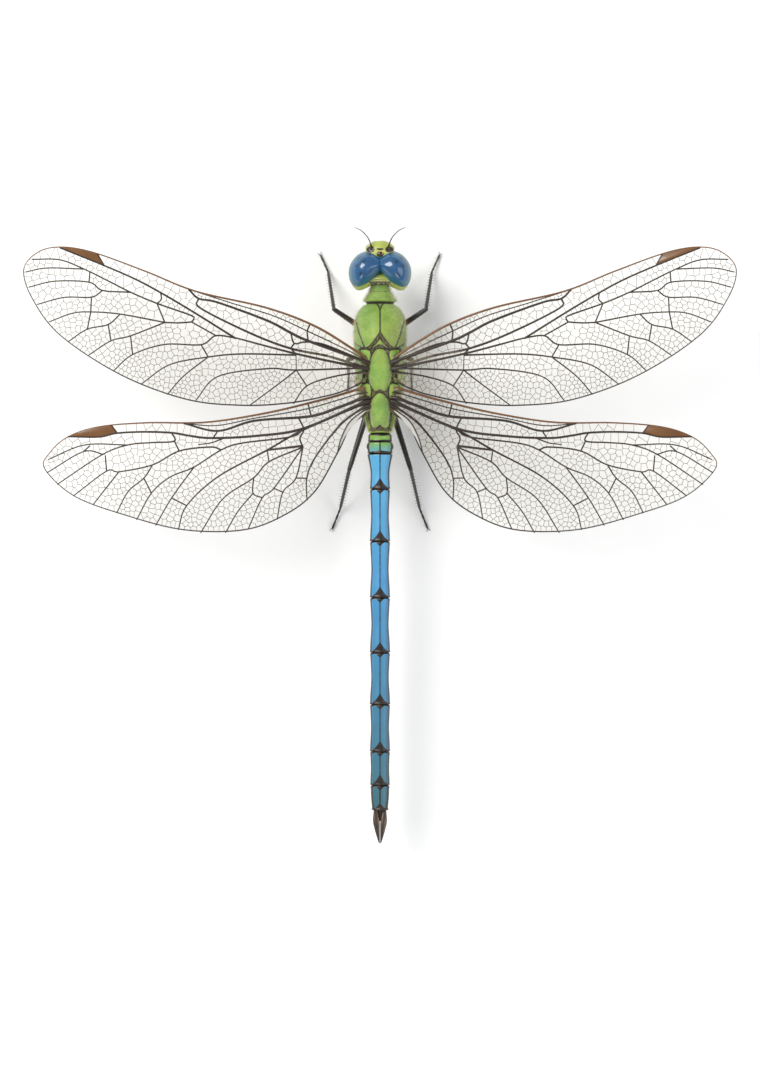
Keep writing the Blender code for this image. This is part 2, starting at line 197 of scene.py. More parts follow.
print("lamps:", ", ".join(LAMPS))

# %% [markdown]
# ## The plan of a wing
#
# A wing is a film stretched on a net of hollow struts, the veins. A few thick ones run from the hinge to
# the tip and fan out to the rear edge. Hundreds of thin cross veins cut the fields between them into cells:
# ladders where a field is narrow, honeycomb where it is wide. The plan is drawn flat, in millimetres, in the
# wing's own frame: the hinge at 0, 0, the span outwards, the chord forwards. Each curve keeps only the points
# that its bends need, and a smooth line is led through them.


# %% Smooth lines
def through(points, count):
    """Samples of a smooth curve through the given points, with the same number of steps between each two."""
    points = [Vector(p) for p in points]
    ends = [2 * points[0] - points[1], *points, 2 * points[-1] - points[-2]]
    samples = []
    for step in range(count + 1):
        place = step / count * (len(points) - 1)
        first = min(int(place), len(points) - 2)
        t = place - first
        a, b, c, d = ends[first : first + 4]
        samples.append(
            0.5 * (2 * b + (c - a) * t + (2 * a - 5 * b + 4 * c - d) * t**2 + (3 * b - a - 3 * c + d) * t**3)
        )
    return samples


def evenly(points, spacing):
    """The same curve, sampled about every spacing along its length."""
    fine = through(points, 40 * len(points))
    run = [0.0]
    for one, other in zip(fine, fine[1:]):
        run.append(run[-1] + (other - one).length)
    count = max(1, round(run[-1] / spacing))
    wanted = np.linspace(0, run[-1], count + 1)
    columns = [np.interp(wanted, run, [p[axis] for p in fine]) for axis in range(len(fine[0]))]
    return [Vector(row) for row in zip(*columns)]


# %% Outlines
# hinge, sweep, rise and camber set the wing on the body as the solids have it.
WINGS = {
    "forewing": {
        "hinge": (2.56, 27.2, 14.9), "sweep": 15.2, "rise": 3.5, "camber": 0.55,
        "lead": (
            (0.0, 1.3), (2.6, 2.2), (9.4, 4.1), (17.6, 4.85), (29.0, 4.4), (37.6, 5.35),
            (46.5, 6.05), (51.8, 5.45), (55.0, 3.6), (56.3, 0.4),
        ),
        "trail": (
            (-0.3, -2.7), (1.2, -4.0), (4.0, -5.9), (9.9, -8.8), (17.2, -11.2), (26.0, -12.6),
            (37.0, -11.6), (47.9, -8.1), (53.7, -3.7), (56.3, 0.4),
        ),
    },
    "hindwing": {
        "hinge": (2.56, 21.76, 14.3), "sweep": -11.7, "rise": 1.5, "camber": 0.6,
        "lead": (
            (-0.3, 2.0), (2.7, 1.7), (6.9, 1.4), (15.8, 1.15), (25.5, 1.65), (34.9, 3.5),
            (42.5, 4.4), (47.6, 3.8), (50.9, 1.9), (52.2, -0.4),
        ),
        "trail": (
            (0.0, -1.9), (3.1, -3.9), (5.8, -7.3), (10.8, -12.8), (16.5, -15.5), (23.3, -16.4),
            (32.6, -14.4), (41.6, -10.0), (48.5, -5.6), (52.2, -0.4),
        ),
    },
}

# %% [markdown]
# ## The main veins
#
# The thick front edge is the costa. Behind it run the subcosta and the radius, which meet the edge at a
# notch called the nodus, about half way out. The radius goes on to the dark wing spot near the tip. Each
# row says whether a vein rides on a ridge of the pleated wing, 1, or lies in a furrow, -1, then how thick
# it is where it starts and where it ends, and then its points.

# %% Veins of the forewing
FOREWING_VEINS = {
    "subcosta": (-1, 0.1, 0.07, (0.5, 1.2), (4.5, 2.0), (9.6, 2.9), (16.0, 3.9), (23.0, 4.1), (30.2, 4.4)),
    "radius": (1, 0.3, 0.17, (0.6, 0.8), (9.7, 1.5), (12.7, 2.0), (16.9, 2.9), (25.2, 3.6), (28.3, 3.4), (30.2, 4.4)),
    "radius_out": (1, 0.18, 0.13, (20.9, -1.2), (28.9, 1.2), (34.4, 2.7), (38.8, 3.7), (44.3, 4.5), (51.7, 5.35)),
    "sector": (-1, 0.26, 0.15, (0.4, -0.2), (6.0, 0.0), (12.0, -0.4), (18.6, 0.2), (27.6, 2.0), (28.3, 3.4)),
    "media": (1, 0.26, 0.13, (0.4, -0.4), (11.0, -1.0), (20.7, -1.1)),
    "arch": (1, 0.17, 0.13, (0.6, 0.8), (6.9, 1.6), (10.1, 1.2), (11.7, 0.5), (12.7, 2.0)),
    "arch_foot": (0, 0.14, 0.12, (11.7, 0.5), (12.0, -0.4), (11.0, -1.0)),
    "first_rung": (0, 0.13, 0.13, (10.1, 4.2), (10.2, 2.9), (9.7, 1.5)),
    "spot_rung": (0, 0.13, 0.12, (45.7, 6.0), (44.2, 4.5)),
    "tip_fork": (-1, 0.14, 0.09, (28.4, -0.5), (28.2, 0.1), (28.9, 0.5), (34.5, 0.9), (39.0, 1.5), (42.9, 2.3),
                 (47.1, 3.1), (51.2, 3.5), (55.5, 2.4)),
    "loop": (0, 0.13, 0.12, (28.4, -0.5), (30.4, -1.2), (32.5, -1.7)),
    "tip_1": (1, 0.1, 0.08, (47.1, 3.1), (52.8, 1.7), (55.9, 0.2)),
    "tip_2": (-1, 0.12, 0.08, (39.0, 1.5), (43.4, 0.6), (45.8, 1.3), (51.1, 0.0), (54.8, -2.0)),
    "tip_3": (1, 0.11, 0.08, (43.4, 0.6), (44.8, -0.9), (49.0, -2.1), (52.8, -4.3)),
    "tip_4": (-1, 0.12, 0.08, (32.5, -1.7), (39.7, -2.3), (44.3, -3.2), (47.1, -4.2), (50.3, -6.5)),
    "tip_5": (1, 0.11, 0.08, (39.7, -2.3), (41.1, -4.4), (44.1, -6.0), (46.5, -8.7)),
    "tip_6": (-1, 0.12, 0.08, (32.5, -1.7), (37.2, -5.2), (40.0, -6.8), (42.8, -9.9)),
    "rear": (1, 0.14, 0.08, (20.7, -1.1), (24.1, -1.6), (26.0, -3.6), (31.6, -5.1), (36.1, -8.0), (38.3, -11.2)),
    "brace_1": (0, 0.12, 0.12, (28.4, -0.5), (24.1, -1.6)),
    "brace_2": (0, 0.11, 0.11, (34.5, 0.9), (32.5, -1.7)),
    "brace_3": (0, 0.11, 0.11, (34.4, 2.7), (34.0, 1.7), (34.5, 0.9)),
    "brace_4": (0, 0.11, 0.11, (26.0, -3.6), (24.4, -5.2)),
    "brace_5": (0, 0.1, 0.1, (46.1, 2.9), (45.8, 1.3)),
    "brace_6": (0, 0.1, 0.1, (44.8, -0.9), (44.3, -3.2)),
    "brace_7": (0, 0.1, 0.1, (44.3, -3.2), (44.1, -6.0)),
    "brace_8": (0, 0.1, 0.1, (41.1, -4.4), (40.0, -6.8)),
    "brace_9": (0, 0.1, 0.1, (37.2, -5.2), (36.1, -8.0)),
    "cubitus": (-1, 0.16, 0.08, (11.0, -1.2), (19.3, -3.3), (24.4, -5.2), (30.0, -8.0), (33.5, -12.1)),
    "cubitus_fork": (1, 0.11, 0.08, (24.4, -5.2), (27.4, -9.2), (29.1, -12.7)),
    "anal_1": (1, 0.17, 0.08, (0.4, -0.5), (10.3, -3.5), (14.8, -4.5), (22.1, -7.8), (24.5, -12.4)),
    "anal_2": (0, 0.12, 0.08, (10.3, -3.5), (12.0, -5.8), (16.0, -10.9)),
    "anal_3": (-1, 0.16, 0.09, (0.2, -1.1), (4.4, -3.0), (8.0, -5.5), (9.3, -8.8)),
    "anal_brace": (0, 0.1, 0.1, (10.3, -3.5), (8.0, -5.5)),
    "root_brace": (0, 0.06, 0.06, (11.0, -1.1), (10.3, -3.5)),
}

# %% Veins of the hindwing
HINDWING_VEINS = {
    "subcosta": (-1, 0.1, 0.07, (0.4, 1.2), (8.9, 0.5), (17.8, 0.7), (24.0, 0.8), (29.0, 2.2)),
    "radius": (1, 0.3, 0.16, (0.4, 0.3), (4.1, -0.3), (9.0, -0.8), (17.8, 0.3), (23.9, -0.1), (29.0, 2.2)),
    "radius_out": (1, 0.28, 0.13, (0.4, -0.4), (10.5, -2.5), (18.3, -2.1), (25.2, -1.0), (28.6, 0.1), (31.2, 1.1),
                   (35.3, 2.1), (39.7, 2.8), (42.7, 2.8), (47.5, 3.85)),
    "first_rung": (0, 0.13, 0.13, (8.9, 1.4), (8.8, -0.8)),
    "arch": (0, 0.14, 0.13, (10.8, -0.8), (10.4, -2.7), (11.3, -3.9), (11.1, -5.4)),
    "notch_brace": (0, 0.12, 0.12, (23.9, -0.1), (24.9, -1.1)),
    "spur": (0, 0.12, 0.08, (22.6, -1.35), (25.3, -1.75), (27.4, -1.6)),
    "spot_rung": (0, 0.13, 0.12, (40.4, 4.3), (39.7, 2.8)),
    "tip_1": (1, 0.1, 0.08, (38.4, 0.6), (45.2, 2.0), (51.4, 0.9)),
    "tip_2": (-1, 0.1, 0.08, (42.5, -0.1), (45.6, 1.0), (51.9, -1.1)),
    "tip_3": (1, 0.13, 0.08, (31.2, 1.1), (31.0, -0.3), (34.6, 0.2), (38.4, 0.6), (42.8, -0.1), (50.8, -3.3)),
    "tip_4": (-1, 0.14, 0.08, (24.0, -3.2), (25.5, -2.4), (30.6, -2.0), (35.2, -3.3), (40.7, -3.3),
              (42.6, -2.8), (48.6, -5.6)),
    "tip_5": (1, 0.11, 0.08, (35.2, -3.3), (37.0, -5.1), (39.9, -6.7), (42.4, -9.7)),
    "tip_6": (1, 0.11, 0.08, (40.7, -3.3), (45.8, -7.6)),
    "rear_1": (1, 0.15, 0.08, (10.5, -2.5), (12.6, -3.4), (20.5, -2.8), (24.0, -3.2), (28.8, -5.0), (32.9, -5.8),
               (36.3, -7.7), (39.5, -11.4)),
    "rear_2": (-1, 0.11, 0.08, (28.8, -5.0), (33.3, -9.1), (36.7, -12.9)),
    "rear_3": (-1, 0.24, 0.08, (0.4, -0.6), (10.5, -2.7), (16.8, -4.7), (25.4, -7.3), (31.2, -10.8), (33.3, -14.3)),
    "stout": (0, 0.22, 0.18, (11.1, -5.2), (16.8, -4.7)),
    "rear_4": (1, 0.13, 0.08, (11.1, -5.4), (16.9, -6.6), (19.8, -8.6), (25.3, -10.9), (29.9, -15.5)),
    "rear_5": (1, 0.1, 0.08, (20.4, -11.0), (23.4, -13.4), (26.0, -16.3)),
    "rear_6": (-1, 0.12, 0.08, (11.1, -5.4), (17.0, -10.9), (19.1, -12.0), (22.3, -16.4)),
    "rear_7": (1, 0.12, 0.08, (11.1, -5.4), (13.2, -10.0), (15.7, -11.8), (17.5, -15.9)),
    "anal_1": (-1, 0.22, 0.09, (0.8, -1.3), (4.8, -3.3), (9.6, -7.5), (11.5, -10.4), (12.2, -13.9)),
    "pale_edge": (0, 0.1, 0.08, (0.3, -1.6), (2.9, -2.9), (4.8, -5.2), (5.9, -7.4)),
    "brace_1": (0, 0.11, 0.11, (44.4, 1.7), (45.6, 1.0)),
    "brace_2": (0, 0.12, 0.12, (31.0, -0.3), (30.6, -2.0)),
    "brace_3": (0, 0.1, 0.1, (42.3, -0.3), (42.6, -2.8)),
    "brace_4": (0, 0.1, 0.1, (37.0, -5.1), (36.3, -7.7)),
    "brace_5": (0, 0.1, 0.1, (33.3, -9.1), (31.2, -10.8)),
    "brace_6": (0, 0.1, 0.1, (16.8, -4.7), (16.9, -6.6)),
    "brace_7": (0, 0.1, 0.1, (19.8, -8.6), (20.4, -11.0), (19.1, -12.0)),
    "brace_8": (0, 0.1, 0.1, (17.0, -10.9), (15.7, -11.8)),
    "brace_9": (0, 0.1, 0.1, (13.2, -10.0), (11.5, -10.4)),
}

# %% All veins
VEINS = {"forewing": FOREWING_VEINS, "hindwing": HINDWING_VEINS}
DARK_SPOTS = {"forewing": (48.0, 5.5), "hindwing": (43.0, 3.4)}  # a point inside each dark wing spot
PALE_FLAPS = {"forewing": (9.0, 90.0), "hindwing": (2.9, -3.3)}  # one inside the pale flap by the body, if any

# %% [markdown]
# ## From veins to cells
#
# Drawing a thousand cross veins by hand would be dull, and they follow a rule: each cell pushes on its
# neighbours until all are about as large. So seeds are scattered in each field between the main veins,
# every seed takes the ground that is nearest to it, and moves to the middle of that ground. After a few
# rounds the borders look like the net of a real wing. Blender's own triangulator finds the fields and later
# joins all the borders into one net.

# %% Edge and ends
VEIN_STEP = 0.8  # the sampled veins' step
OVERSHOOT = 0.45  # each vein is drawn this much too long, so that it surely meets the next one


def outline(plan, spacing=VEIN_STEP):
    """The wing's edge from the root round the tip and back, and how many points are before the tip."""
    ring = evenly((*plan["lead"], *plan["trail"][-2::-1]), spacing)
    return ring, max(range(len(ring)), key=lambda i: ring[i].x)


def overlong(points):
    """A line with both of its ends drawn out a little."""
    first = points[0] + (points[0] - points[1]).normalized() * OVERSHOOT
    last = points[-1] + (points[-1] - points[-2]).normalized() * OVERSHOOT
    return [first, *points[1:-1], last]


# %% Fields between the veins
SAME_POINT = 0.004
FIELDS, CLEAN_FACES = 3, 4  # the triangulator's ways of giving faces: as the lines enclose them, or fit for a mesh


def edges_of(ring):
    """Each corner of a ring with the next one."""
    return zip(ring, ring[1:] + ring[:1])


def signed_area(ring):
    return 0.5 * sum(a.x * b.y - b.x * a.y for a, b in edges_of(ring))


def tidy_ring(ring):
    """A face's corners without the dead ends, where a corner comes back the way it went."""
    ring, at = list(ring), 0
    while len(ring) > 3 and at < len(ring):
        after = (at + 1) % len(ring)
        if ring[at - 1] == ring[after]:
            for spare in sorted({at, after}, reverse=True):
                del ring[spare]
            at = 0
        else:
            at += 1
    return ring


def fields(plan, veins):
    """The polygons that the veins cut the wing into."""
    edge, _ = outline(plan)
    points, edges = list(edge), list(edges_of(list(range(len(edge)))))
    for _, _, _, *knots in veins.values():
        line = overlong(evenly(knots, VEIN_STEP))
        start = len(points)
        points += line
        edges += [(start + i, start + i + 1) for i in range(len(line) - 1)]
    verts, _, faces, *_ = delaunay_2d_cdt(points, edges, [list(range(len(edge)))], FIELDS, SAME_POINT)
    rings = [[verts[i] for i in tidy_ring(face)] for face in faces]
    return [ring if signed_area(ring) > 0 else ring[::-1] for ring in rings if abs(signed_area(ring)) > 0.01]


# %% Cut a polygon
NEIGHBOURS = 24  # how many other seeds can bound a cell


def clip(ring, point, normal):
    """The part of a polygon on the near side of a line."""
    beyond = [(p - point).dot(normal) for p in ring]
    kept = []
    for at, p in enumerate(ring):
        here, before = beyond[at], beyond[at - 1]
        if (here > 0) != (before > 0):
            kept.append(ring[at - 1].lerp(p, before / (before - here)))
        if here <= 0:
            kept.append(p)
    return kept


def middle(ring):
    """The centre of a polygon's area."""
    area, total = 0.0, Vector((0, 0))
    for a, b in edges_of(ring):
        cross = a.x * b.y - b.x * a.y
        area += cross
        total += (a + b) * cross
    return total / (3 * area) if abs(area) > 1e-9 else sum(ring, Vector((0, 0))) / len(ring)


def split(ring, seeds):
    """One cell for each seed: the part of the field that is nearer to it than to any other."""
    cells = []
    for seed in seeds:
        others = sorted((other for other in seeds if other is not seed), key=lambda o: (o - seed).length_squared)
        cell = ring
        for other in others[:NEIGHBOURS]:
            cell = clip(cell, (seed + other) / 2, other - seed)
            if len(cell) < 3:
                break
        cells.append(cell)
    return cells


# %% Cells in a field
ROUNDS = 7  # how often the seeds move to the middle of their cells


def inside(ring, p):
    """True if a point lies in a polygon: a ray from it crosses the edge an odd number of times."""
    spans = ((a, b) for a, b in edges_of(ring) if (a.y > p.y) != (b.y > p.y))
    return sum(p.x < a.x + (p.y - a.y) / (b.y - a.y) * (b.x - a.x) for a, b in spans) % 2 == 1


def honeycomb(ring, cell_area, dice):
    """Cuts a field into cells of about the given size."""
    count = round(signed_area(ring) / cell_area)
    if count < 2:
        return [ring]
    xs, ys = [p.x for p in ring], [p.y for p in ring]
    seeds = []
    while len(seeds) < count:
        p = Vector((dice.uniform(min(xs), max(xs)), dice.uniform(min(ys), max(ys))))
        if inside(ring, p):
            seeds.append(p)
    for _ in range(ROUNDS):
        seeds = [middle(cell) if len(cell) > 2 else seed for cell, seed in zip(split(ring, seeds), seeds)]
    return [cell for cell in split(ring, seeds) if len(cell) > 2]


# %% Net of a wing
FRONT_CELL, REAR_CELL = 1.3, 0.72  # square millimetres
LADDER_WIDTH = 1.6  # a field narrower than this gets one row of cells
SLIVER = 0.03


def cell_size(ring):
    """How large a field's cells should be: smaller to the rear, and a single row in a narrow field."""
    width = 2 * signed_area(ring) / sum((b - a).length for a, b in edges_of(ring))
    if width < LADDER_WIDTH:
        return max(0.7, 0.8 * width * width)
    rear = min(1, max(0, (1.5 - middle(ring).y) / 8))
    return FRONT_CELL + (REAR_CELL - FRONT_CELL) * rear


def wing_net(kind):
    """A flat bmesh of the wing's cells. Material 1 marks the dark spot, and material 2 the pale flap."""
    dice = random.Random(kind)
    points, rings, marks = [], [], []
    for ring in fields(WINGS[kind], VEINS[kind]):
        mark = 1 if inside(ring, Vector(DARK_SPOTS[kind])) else 2 if inside(ring, Vector(PALE_FLAPS[kind])) else 0
        for cell in [ring] if mark else honeycomb(ring, cell_size(ring), dice):
            rings.append(list(range(len(points), len(points) + len(cell))))
            points += cell
            marks.append(mark)
    verts, _, faces, _, _, sources = delaunay_2d_cdt(points, [], rings, CLEAN_FACES, SAME_POINT)
    bm = bmesh.new()
    corners = [bm.verts.new((v.x, v.y, 0)) for v in verts]
    for face, source in zip(faces, sources):
        bm.faces.new([corners[i] for i in face]).material_index = max([marks[i] for i in source], default=0)
    bmesh.ops.dissolve_degenerate(bm, edges=bm.edges, dist=SLIVER)
    bmesh.ops.delete(bm, geom=[edge for edge in bm.edges if not edge.link_faces], context="EDGES")
    face_out(bm)
    if sum(face.normal.z for face in bm.faces) < 0:
        bmesh.ops.reverse_faces(bm, faces=bm.faces)
    print(f"{kind}: {len(bm.faces)} cells")
    return bm


# %% [markdown]
# ## Pleats
#
# A flat film this thin would flap like paper. The main veins lie by turns on ridges and in furrows, which
# makes the front half of a wing as stiff as a folded fan. The height of each point is a blend of the ridges
# and furrows nearest to it, laid over the slight arch that the whole wing has.

# %% Height of the film
PLEAT = 0.26  # how far a ridge stands over the middle at the wing's root
EDGE_RIDGE = 0.6  # the front edge is a lower ridge, which the veins that end on it come up to
EDGE_BLEND = 1.2


def film_height(kind):
    """Gives a function that turns flat points of a wing into points on its pleated, arched film."""
    plan = WINGS[kind]
    edge, tip = outline(plan, 0.5)
    lead, trail = np.array(edge[: tip + 1]), np.array(edge[:tip:-1])
    spots, ridges = [lead, trail], [np.full(len(lead), EDGE_RIDGE), np.zeros(len(trail))]
    for ridge, _, _, *knots in VEINS[kind].values():
        if ridge:
            line = np.array(evenly(knots, 0.5))
            spots.append(line)
            behind = np.interp(line[:, 0], lead[:, 0], lead[:, 1]) - line[:, 1]
            ridges.append(EDGE_RIDGE + (ridge - EDGE_RIDGE) * np.clip(behind / EDGE_BLEND, 0, 1))
    spots, ridges = np.concatenate(spots), np.concatenate(ridges)

    def place(flat):
        flat = np.asarray(flat, dtype=float)[:, :2]
        near = 1 / (((flat[:, None] - spots[None]) ** 2).sum(2) + 0.01) ** 2
        ridge = (near * ridges).sum(1) / near.sum(1)
        front, rear = (np.interp(flat[:, 0], line[:, 0], line[:, 1]) for line in (lead, trail))
        back = np.clip((front - flat[:, 1]) / np.maximum(front - rear, 0.1), 0, 1)
        out = np.clip(flat[:, 0] / lead[-1, 0], 0, 1)
        arch = plan["camber"] * np.sin(math.pi * back) * np.sin(math.pi * np.minimum(1, out + 0.2))
        return np.column_stack((flat, arch + PLEAT * ridge * (1 - 0.75 * out) * (1 - 0.8 * back**2)))

    return place


# %% Grids and tubes
def warped_grid(bm, columns, rows, place):
    """Adds a grid and joins its seams. place gives its points for arrays u across and v along, 0 to 1."""
    made = bmesh.ops.create_grid(bm, x_segments=columns, y_segments=rows, size=0.5)["verts"]
    flat = np.array([v.co[:2] for v in made]) + 0.5
    for vert, point in zip(made, place(flat[:, 0], flat[:, 1])):
        vert.co = point
    bmesh.ops.remove_doubles(bm, verts=made, dist=1e-5)


def unit(rows):
    """Each row as a direction of length 1."""
    return rows / np.linalg.norm(rows, axis=1)[:, None]


def tube(bm, path, radii, sides=8, flat=1.0):
    """Adds a closed tube along a path. flat squashes its height."""
    path = np.array(path, dtype=float)
    along = unit(np.gradient(path, axis=0))
    path, along = (np.concatenate((line[:1], line, line[-1:])) for line in (path, along))
    radii = np.array([0, *radii, 0], dtype=float)
    across = unit(np.cross(along, (0, 0, 1)))
    over = np.cross(across, along)

    def place(u, v):
        ring = np.round(v * (len(path) - 1)).astype(int)
        turn = 2 * math.pi * u
        ring_side = np.cos(turn)[:, None] * across[ring] + flat * np.sin(turn)[:, None] * over[ring]
        return path[ring] + radii[ring][:, None] * ring_side

    warped_grid(bm, sides, len(path) - 1, place)


# %% [markdown]
# ## Wing pieces
#
# Each wing is three pieces. The film is one sheet whose cells bulge a little, so that each glints by
# itself. The net is the same cells turned to struts. The stout veins are tapered tubes, with the costa on
# the front edge the stoutest of all. One wing of each pair is built and then mirrored.

# %% Wing finishes
film = new_finish(
    "wing_film", Roughness=0.14, Alpha=0.075, IOR=1.5, Base_Color=(0.66, 0.58, 0.4, 1), Specular_IOR_Level=0.9
)[0]
vein = cloudy_finish("vein_horn", 260.0, 3.0, (0, (0.01, 0.007, 0.005)), (1, (0.04, 0.022, 0.012)), Roughness=0.42)
amber = cloudy_finish(
    "amber_edge", 400.0, 3.0, (0, (0.09, 0.036, 0.01)), (1, (0.2, 0.085, 0.022)), Roughness=0.35, Coat_Weight=0.3
)
flap = cloudy_finish("pale_flap", 300.0, 2.0, (0, (0.3, 0.3, 0.28)), (1, (0.62, 0.6, 0.54)), Roughness=0.6)

# %% Wing film and spot
FILM_THICKNESS, PAD_THICKNESS = 0.035, 0.16
BULGE = (0.02, 0.07)  # how high the middle of a cell stands
SPOT_FINISH = 1


def lifted(net, place):
    """A copy of the flat net with its corners on the film."""
    bm = net.copy()
    for vert, point in zip(bm.verts, place([v.co for v in bm.verts])):
        vert.co = point
    return bm


def wing_film(net, place, dice):
    """A thin sheet with a slight bulge in each cell."""
    bm = lifted(net, place)
    cells = [face for face in bm.faces if face.material_index != SPOT_FINISH]
    for centre in bmesh.ops.poke(bm, faces=cells)["verts"]:
        centre.co.z += dice.uniform(*BULGE)
    lower = bmesh.ops.extrude_face_region(bm, geom=bm.faces[:], use_keep_orig=True)["geom"]
    bmesh.ops.translate(bm, verts=[v for v in lower if isinstance(v, bmesh.types.BMVert)], vec=(0, 0, -FILM_THICKNESS))
    face_out(bm)
    return bm


def wing_pad(net, place):
    """The dark spot: a cell thickened to a small cushion."""
    bm = lifted(net, place)
    bmesh.ops.delete(bm, geom=[f for f in bm.faces if f.material_index != SPOT_FINISH], context="FACES")
    bmesh.ops.dissolve_faces(bm, faces=bm.faces[:])
    for part in bmesh.ops.extrude_face_region(bm, geom=bm.faces[:])["geom"]:
        if isinstance(part, bmesh.types.BMVert):
            part.co.z -= PAD_THICKNESS
    bmesh.ops.translate(bm, verts=bm.verts, vec=(0, 0, PAD_THICKNESS / 2))
    face_out(bm)
    bmesh.ops.bevel(
        bm, geom=bm.edges[:], offset=0.05, segments=2, profile=0.5, affect="EDGES", material=-1, clamp_overlap=True
    )
    return bm


# %% Wing struts and veins
STRUT = 0.078  # the fine net's width
TUBE_STEP = 0.45
VEIN_GIRTH, VEIN_WALL = 1.5, 0.07  # the table's widths are the bare tubes', and these add their thick walls
COSTA = (0.42, 0.16)  # the front edge's thickness at the root and the tip
HIND_EDGE = (0.16, 0.26)  # the rear edge's, from the tip to the root
HINGE_DEPTH = 0.9  # how far the veins run on past the hinge
EDGE_FINISH = 1


def wing_struts(net, place):
    """The fine net between the stout veins."""
    bm = lifted(net, place)
    bmesh.ops.wireframe(
        bm, faces=bm.faces[:], thickness=STRUT, offset=0.0, use_replace=True, use_boundary=True,
        use_even_offset=False,
    )
    face_out(bm)
    return bm


def wing_veins(kind, place):
    """The stout veins and the wing's edges."""
    bm = bmesh.new()
    for _, first, last, *knots in VEINS[kind].values():
        if knots[0][0] < 1:  # at the hinge a vein swells and runs on into the body
            knots = ((-HINGE_DEPTH, 0.8 * knots[0][1]), *knots)
        line = place(evenly(knots, TUBE_STEP))
        radii = (np.linspace(first, last, len(line)) * VEIN_GIRTH + VEIN_WALL) / 2
        tube(bm, line, radii * (1 + 0.3 * np.exp(-((line[:, 0] / 0.6) ** 2))))
    edge, tip = outline(WINGS[kind], TUBE_STEP)
    rear = place(edge[tip:])
    tube(bm, rear, np.linspace(*HIND_EDGE, len(rear)) / 2, sides=6)
    before = set(bm.faces)
    front = place([(-HINGE_DEPTH, edge[0][1] - 0.3), *(spot[:2] for spot in edge[: tip + 1])])
    radii = np.linspace(*COSTA, len(front)) / 2
    radii[0] *= 0.6
    tube(bm, front, radii)
    for face in set(bm.faces) - before:
        face.material_index = EDGE_FINISH
    face_out(bm)
    return bm


# %% Set the wings on the body
def set_wing(bm, plan, side):
    """Turns a copy of a wing piece from its own plan to its place at the body."""
    placed = bm.copy()
    hinge_x, *hinge = plan["hinge"]
    placed.transform(
        Matrix.Translation((side * hinge_x, *hinge))
        @ Matrix.Rotation(math.radians(side * plan["sweep"]), 4, "Z")
        @ Matrix.Rotation(math.radians(-side * plan["rise"]), 4, "Y")
        @ Matrix.Diagonal((side, 1, 1, 1))
    )
    if side < 0:
        bmesh.ops.reverse_faces(placed, faces=placed.faces)
    return placed


for kind, plan in WINGS.items():
    net, place = wing_net(kind), film_height(kind)
    layers = {
        "film": (wing_film(net, place, random.Random(kind)), (film, amber, flap), 8),
        "spot": (wing_pad(net, place), (vein, amber), 40),
        "net": (wing_struts(net, place), (vein, vein, vein), 50),
        "veins": (wing_veins(kind, place), (vein, amber), 60),
    }
    for side, name in RIGHT_AND_LEFT:
        for layer, (bm, finishes, smooth) in layers.items():
            add_piece(f"{kind}_{layer}_{name}", set_wing(bm, plan, side), finishes, (f"{kind}_{name}",), smooth)

# %% [markdown]
# ## Skins for the trunk
#
# The trunk is a row of hard rings, each one band of plates. One skin is drawn over the solid rings, so that
# no step shows where two solids meet, and the real folds are then pressed into it. The solids' rings give
# the half width and the lowest and highest point at each place, and a smooth curve runs through them.


# %% Read the solid rings
def rings(name):
    """Rows of y, half width, lowest and highest point in millimetres, from the tail end forwards."""
    corners = np.array([corner.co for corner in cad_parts[name].data.vertices]) / MM
    levels = np.round(corners[:, 1], 2)
    rows = []
    for level in np.unique(levels):
        ring = corners[levels == level]
        rows.append((level, abs(ring[:, 0]).max(), ring[:, 2].min(), ring[:, 2].max()))
    return [row for row in rows if row[1] > 0.5]


def girth(rows):
    """A function that gives the smooth half width, lowest and highest point for any y."""
    fine = np.array(through(rows, 30 * len(rows)))
    return lambda y: [np.interp(y, fine[:, 0], fine[:, column]) for column in (1, 2, 3)]


# %% Draw a skin
def oval(turn, half, low, high, power, middle=0.5):
    """x and z on a rounded section, and how high on it. turn is 0 at the belly and 0.5 on the back."""
    angle = 2 * math.pi * turn - math.pi / 2
    out, rise = (np.sign(part) * np.abs(part) ** (2 / power) for part in (np.cos(angle), np.sin(angle)))
    centre = low + middle * (high - low)
    return half * out, centre + np.where(rise > 0, high - centre, centre - low) * rise, rise


def oval_section(sizes, power, middle=0.5):
    """The section of a skin, whose sizes are a function of y."""
    return lambda turn, y: oval(turn, *sizes(y), power, middle)


def skin(levels, section, relief, columns):
    """A closed skin along y. section gives points for a turn and y, and relief how far each stands out."""
    bm = bmesh.new()
    levels = np.concatenate((levels[:1], levels, levels[-1:]))

    def place(u, v):
        row = np.round(v * (len(levels) - 1), 4)
        y = np.interp(row, np.arange(len(levels)), levels)
        x, z, rise = section(np.round(u, 6) % 1, y)
        centre = (section(np.zeros_like(y), y)[1] + section(np.full_like(y, 0.5), y)[1]) / 2
        grown = 1 + relief(x, y, z, rise) / np.maximum(np.hypot(x, z - centre), 1e-6)
        closed = np.clip(np.minimum(row, len(levels) - 1 - row), 0, 1)
        return np.column_stack((x * grown * closed, y, centre + (z - centre) * grown * closed))

    warped_grid(bm, columns, len(levels) - 1, place)
    face_out(bm)
    return bm, place


# %% Marks and lines on a skin
def paint(bm, **layers):
    """Stores one number for each corner in each layer, which a finish reads by the layer's name."""
    corners = np.array([v.co for v in bm.verts]).T
    for layer, values in layers.items():
        store = bm.verts.layers.float.new(layer)
        for vert, value in zip(bm.verts, values(*corners) if callable(values) else [values] * len(bm.verts)):
            vert[store] = value


def bump_line(distance, width):
    """1 on a line, falling smoothly to 0 at about twice the width."""
    return np.exp(-((distance / width) ** 2))


